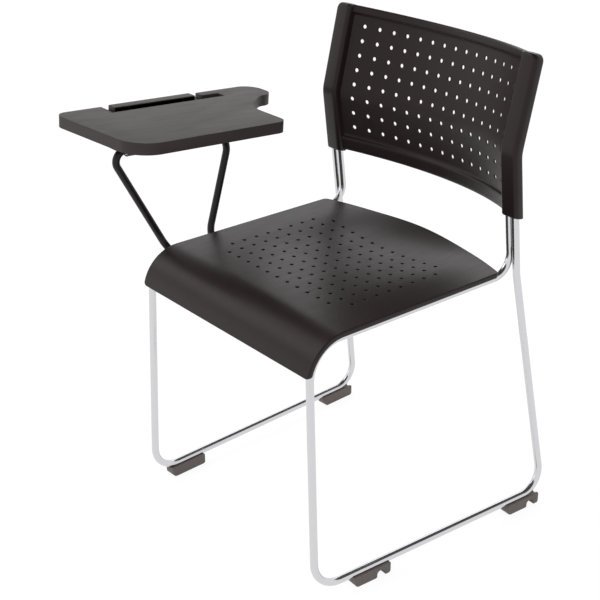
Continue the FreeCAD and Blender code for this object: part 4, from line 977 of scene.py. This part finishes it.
# focal length in pixels of a frame 600 pixels wide, angles in degrees, far limit in metres
view = {"azimuth": 50.51, "elevation": 25.58, "focal": 1329.94, "frameWidth": 600, "sensor": 36,
        "position": (1515.5, -1347.6, 1342.1), "farLimit": 50}
lens = bpy.data.cameras.new("photoCamera")
lens.sensor_width = view["sensor"]
lens.lens = view["focal"] / view["frameWidth"] * view["sensor"]
lens.clip_end = view["farLimit"]
camera = place(lens, "photoCamera")
camera.location = Vector(view["position"]) * mm
camera.rotation_euler = (math.radians(90 - view["elevation"]), 0, math.radians(view["azimuth"]))
bpy.context.scene.camera = camera
bpy.context.scene.view_settings.view_transform = "Standard"

# metres, shares of white, and the height of a direction where the ceiling begins and is fully dark
studio = {"floorSize": 40, "paper": "e6e6e6", "paperRoughness": 0.9, "paperGlow": 0.9, "paperShade": 0.2,
          "sky": 0.72, "ceiling": 0.08, "ceilingFrom": 0.48, "ceilingTo": 0.66}


def paperSweep():
    # seamless white paper: white to the eye and in reflections, with only a faint shadow on it
    material, tree, shader = newMaterial("whitePaperSweep")
    shader.inputs["Base Color"].default_value = linearColour(studio["paper"])
    shader.inputs["Roughness"].default_value = studio["paperRoughness"]
    rays = addNode(tree, "ShaderNodeLightPath")
    shown = 1 - studio["paperShade"]
    glow = addNode(tree, "ShaderNodeEmission", {"Strength": studio["paperGlow"] / shown})
    either = addNode(tree, "ShaderNodeMath", {"operation": "MAXIMUM"},
                     {0: (rays, "Is Camera Ray"), 1: (rays, "Is Glossy Ray")})
    seen = addNode(tree, "ShaderNodeMath", {"operation": "MULTIPLY", 1: shown}, {0: (either, "Value")})
    mixed = addNode(tree, "ShaderNodeMixShader", {},
                    {0: (seen, "Value"), 1: (shader, "BSDF"), 2: (glow, "Emission")})
    tree.links.new(mixed.outputs["Shader"], tree.nodes["Material Output"].inputs["Surface"])
    return material


half = studio["floorSize"] / 2
floorMesh = bpy.data.meshes.new("floor")
floorCorners = [(-half, -half, 0), (half, -half, 0), (half, half, 0), (-half, half, 0)]
floorMesh.from_pydata(floorCorners, [], [(0, 1, 2, 3)])
floorMesh.materials.append(paperSweep())
floor = place(floorMesh, "floor")

# the studio: white all round up to head height, and a dark ceiling that only the reflections show
world = bpy.data.worlds.new("studio")
bpy.context.scene.world = world
world.use_nodes = True
sky = world.node_tree
background = sky.nodes["Background"]
rays = addNode(sky, "ShaderNodeLightPath")
direction = addNode(sky, "ShaderNodeTexCoord")
split = addNode(sky, "ShaderNodeSeparateXYZ", {}, {0: (direction, "Generated")})
ceiling = addNode(sky, "ShaderNodeMapRange",
                  {"interpolation_type": "SMOOTHSTEP", "From Min": studio["ceilingFrom"],
                   "From Max": studio["ceilingTo"], "To Min": 1.0, "To Max": studio["ceiling"]},
                  {"Value": (split, "Z")})
lit = addNode(sky, "ShaderNodeMix", {"data_type": "FLOAT", 2: studio["sky"]},
              {0: (rays, "Is Glossy Ray"), 3: (ceiling, "Result")})
shown = addNode(sky, "ShaderNodeMix", {"data_type": "FLOAT", 3: 1.0},
                {0: (rays, "Is Camera Ray"), 2: (lit, 0)})
sky.links.new(shown.outputs[0], background.inputs["Strength"])
background.inputs["Color"].default_value = (1, 1, 1, 1)


# size, power and place of each softbox, and the point it faces, in metres and watts
softboxes = {
    "keySoftbox": {"size": (1.6, 1.6), "power": 14, "place": (-1.6, -1.2, 2.2), "faces": (0, 0, 0.45)},
    "rearStrip": {"size": (2.4, 0.9), "power": 7, "place": (-2.2, 1.9, 1.75), "faces": (0, 0, 0.45)},
    "frontStrip": {"size": (3.0, 1.2), "power": 5, "place": (-2.4, -2.7, 0.62), "faces": (0, 0.1, 0.6)},
}
for name, box in softboxes.items():
    lamp = bpy.data.lights.new(name, "AREA")
    lamp.shape = "RECTANGLE"
    lamp.size, lamp.size_y = box["size"]
    lamp.energy = box["power"]
    softbox = place(lamp, name)
    softbox.location = box["place"]
    aim = Vector(box["faces"]) - Vector(box["place"])
    softbox.rotation_euler = aim.to_track_quat("-Z", "Y").to_euler()
    softbox.visible_camera = False
print("camera, floor and lights ready")
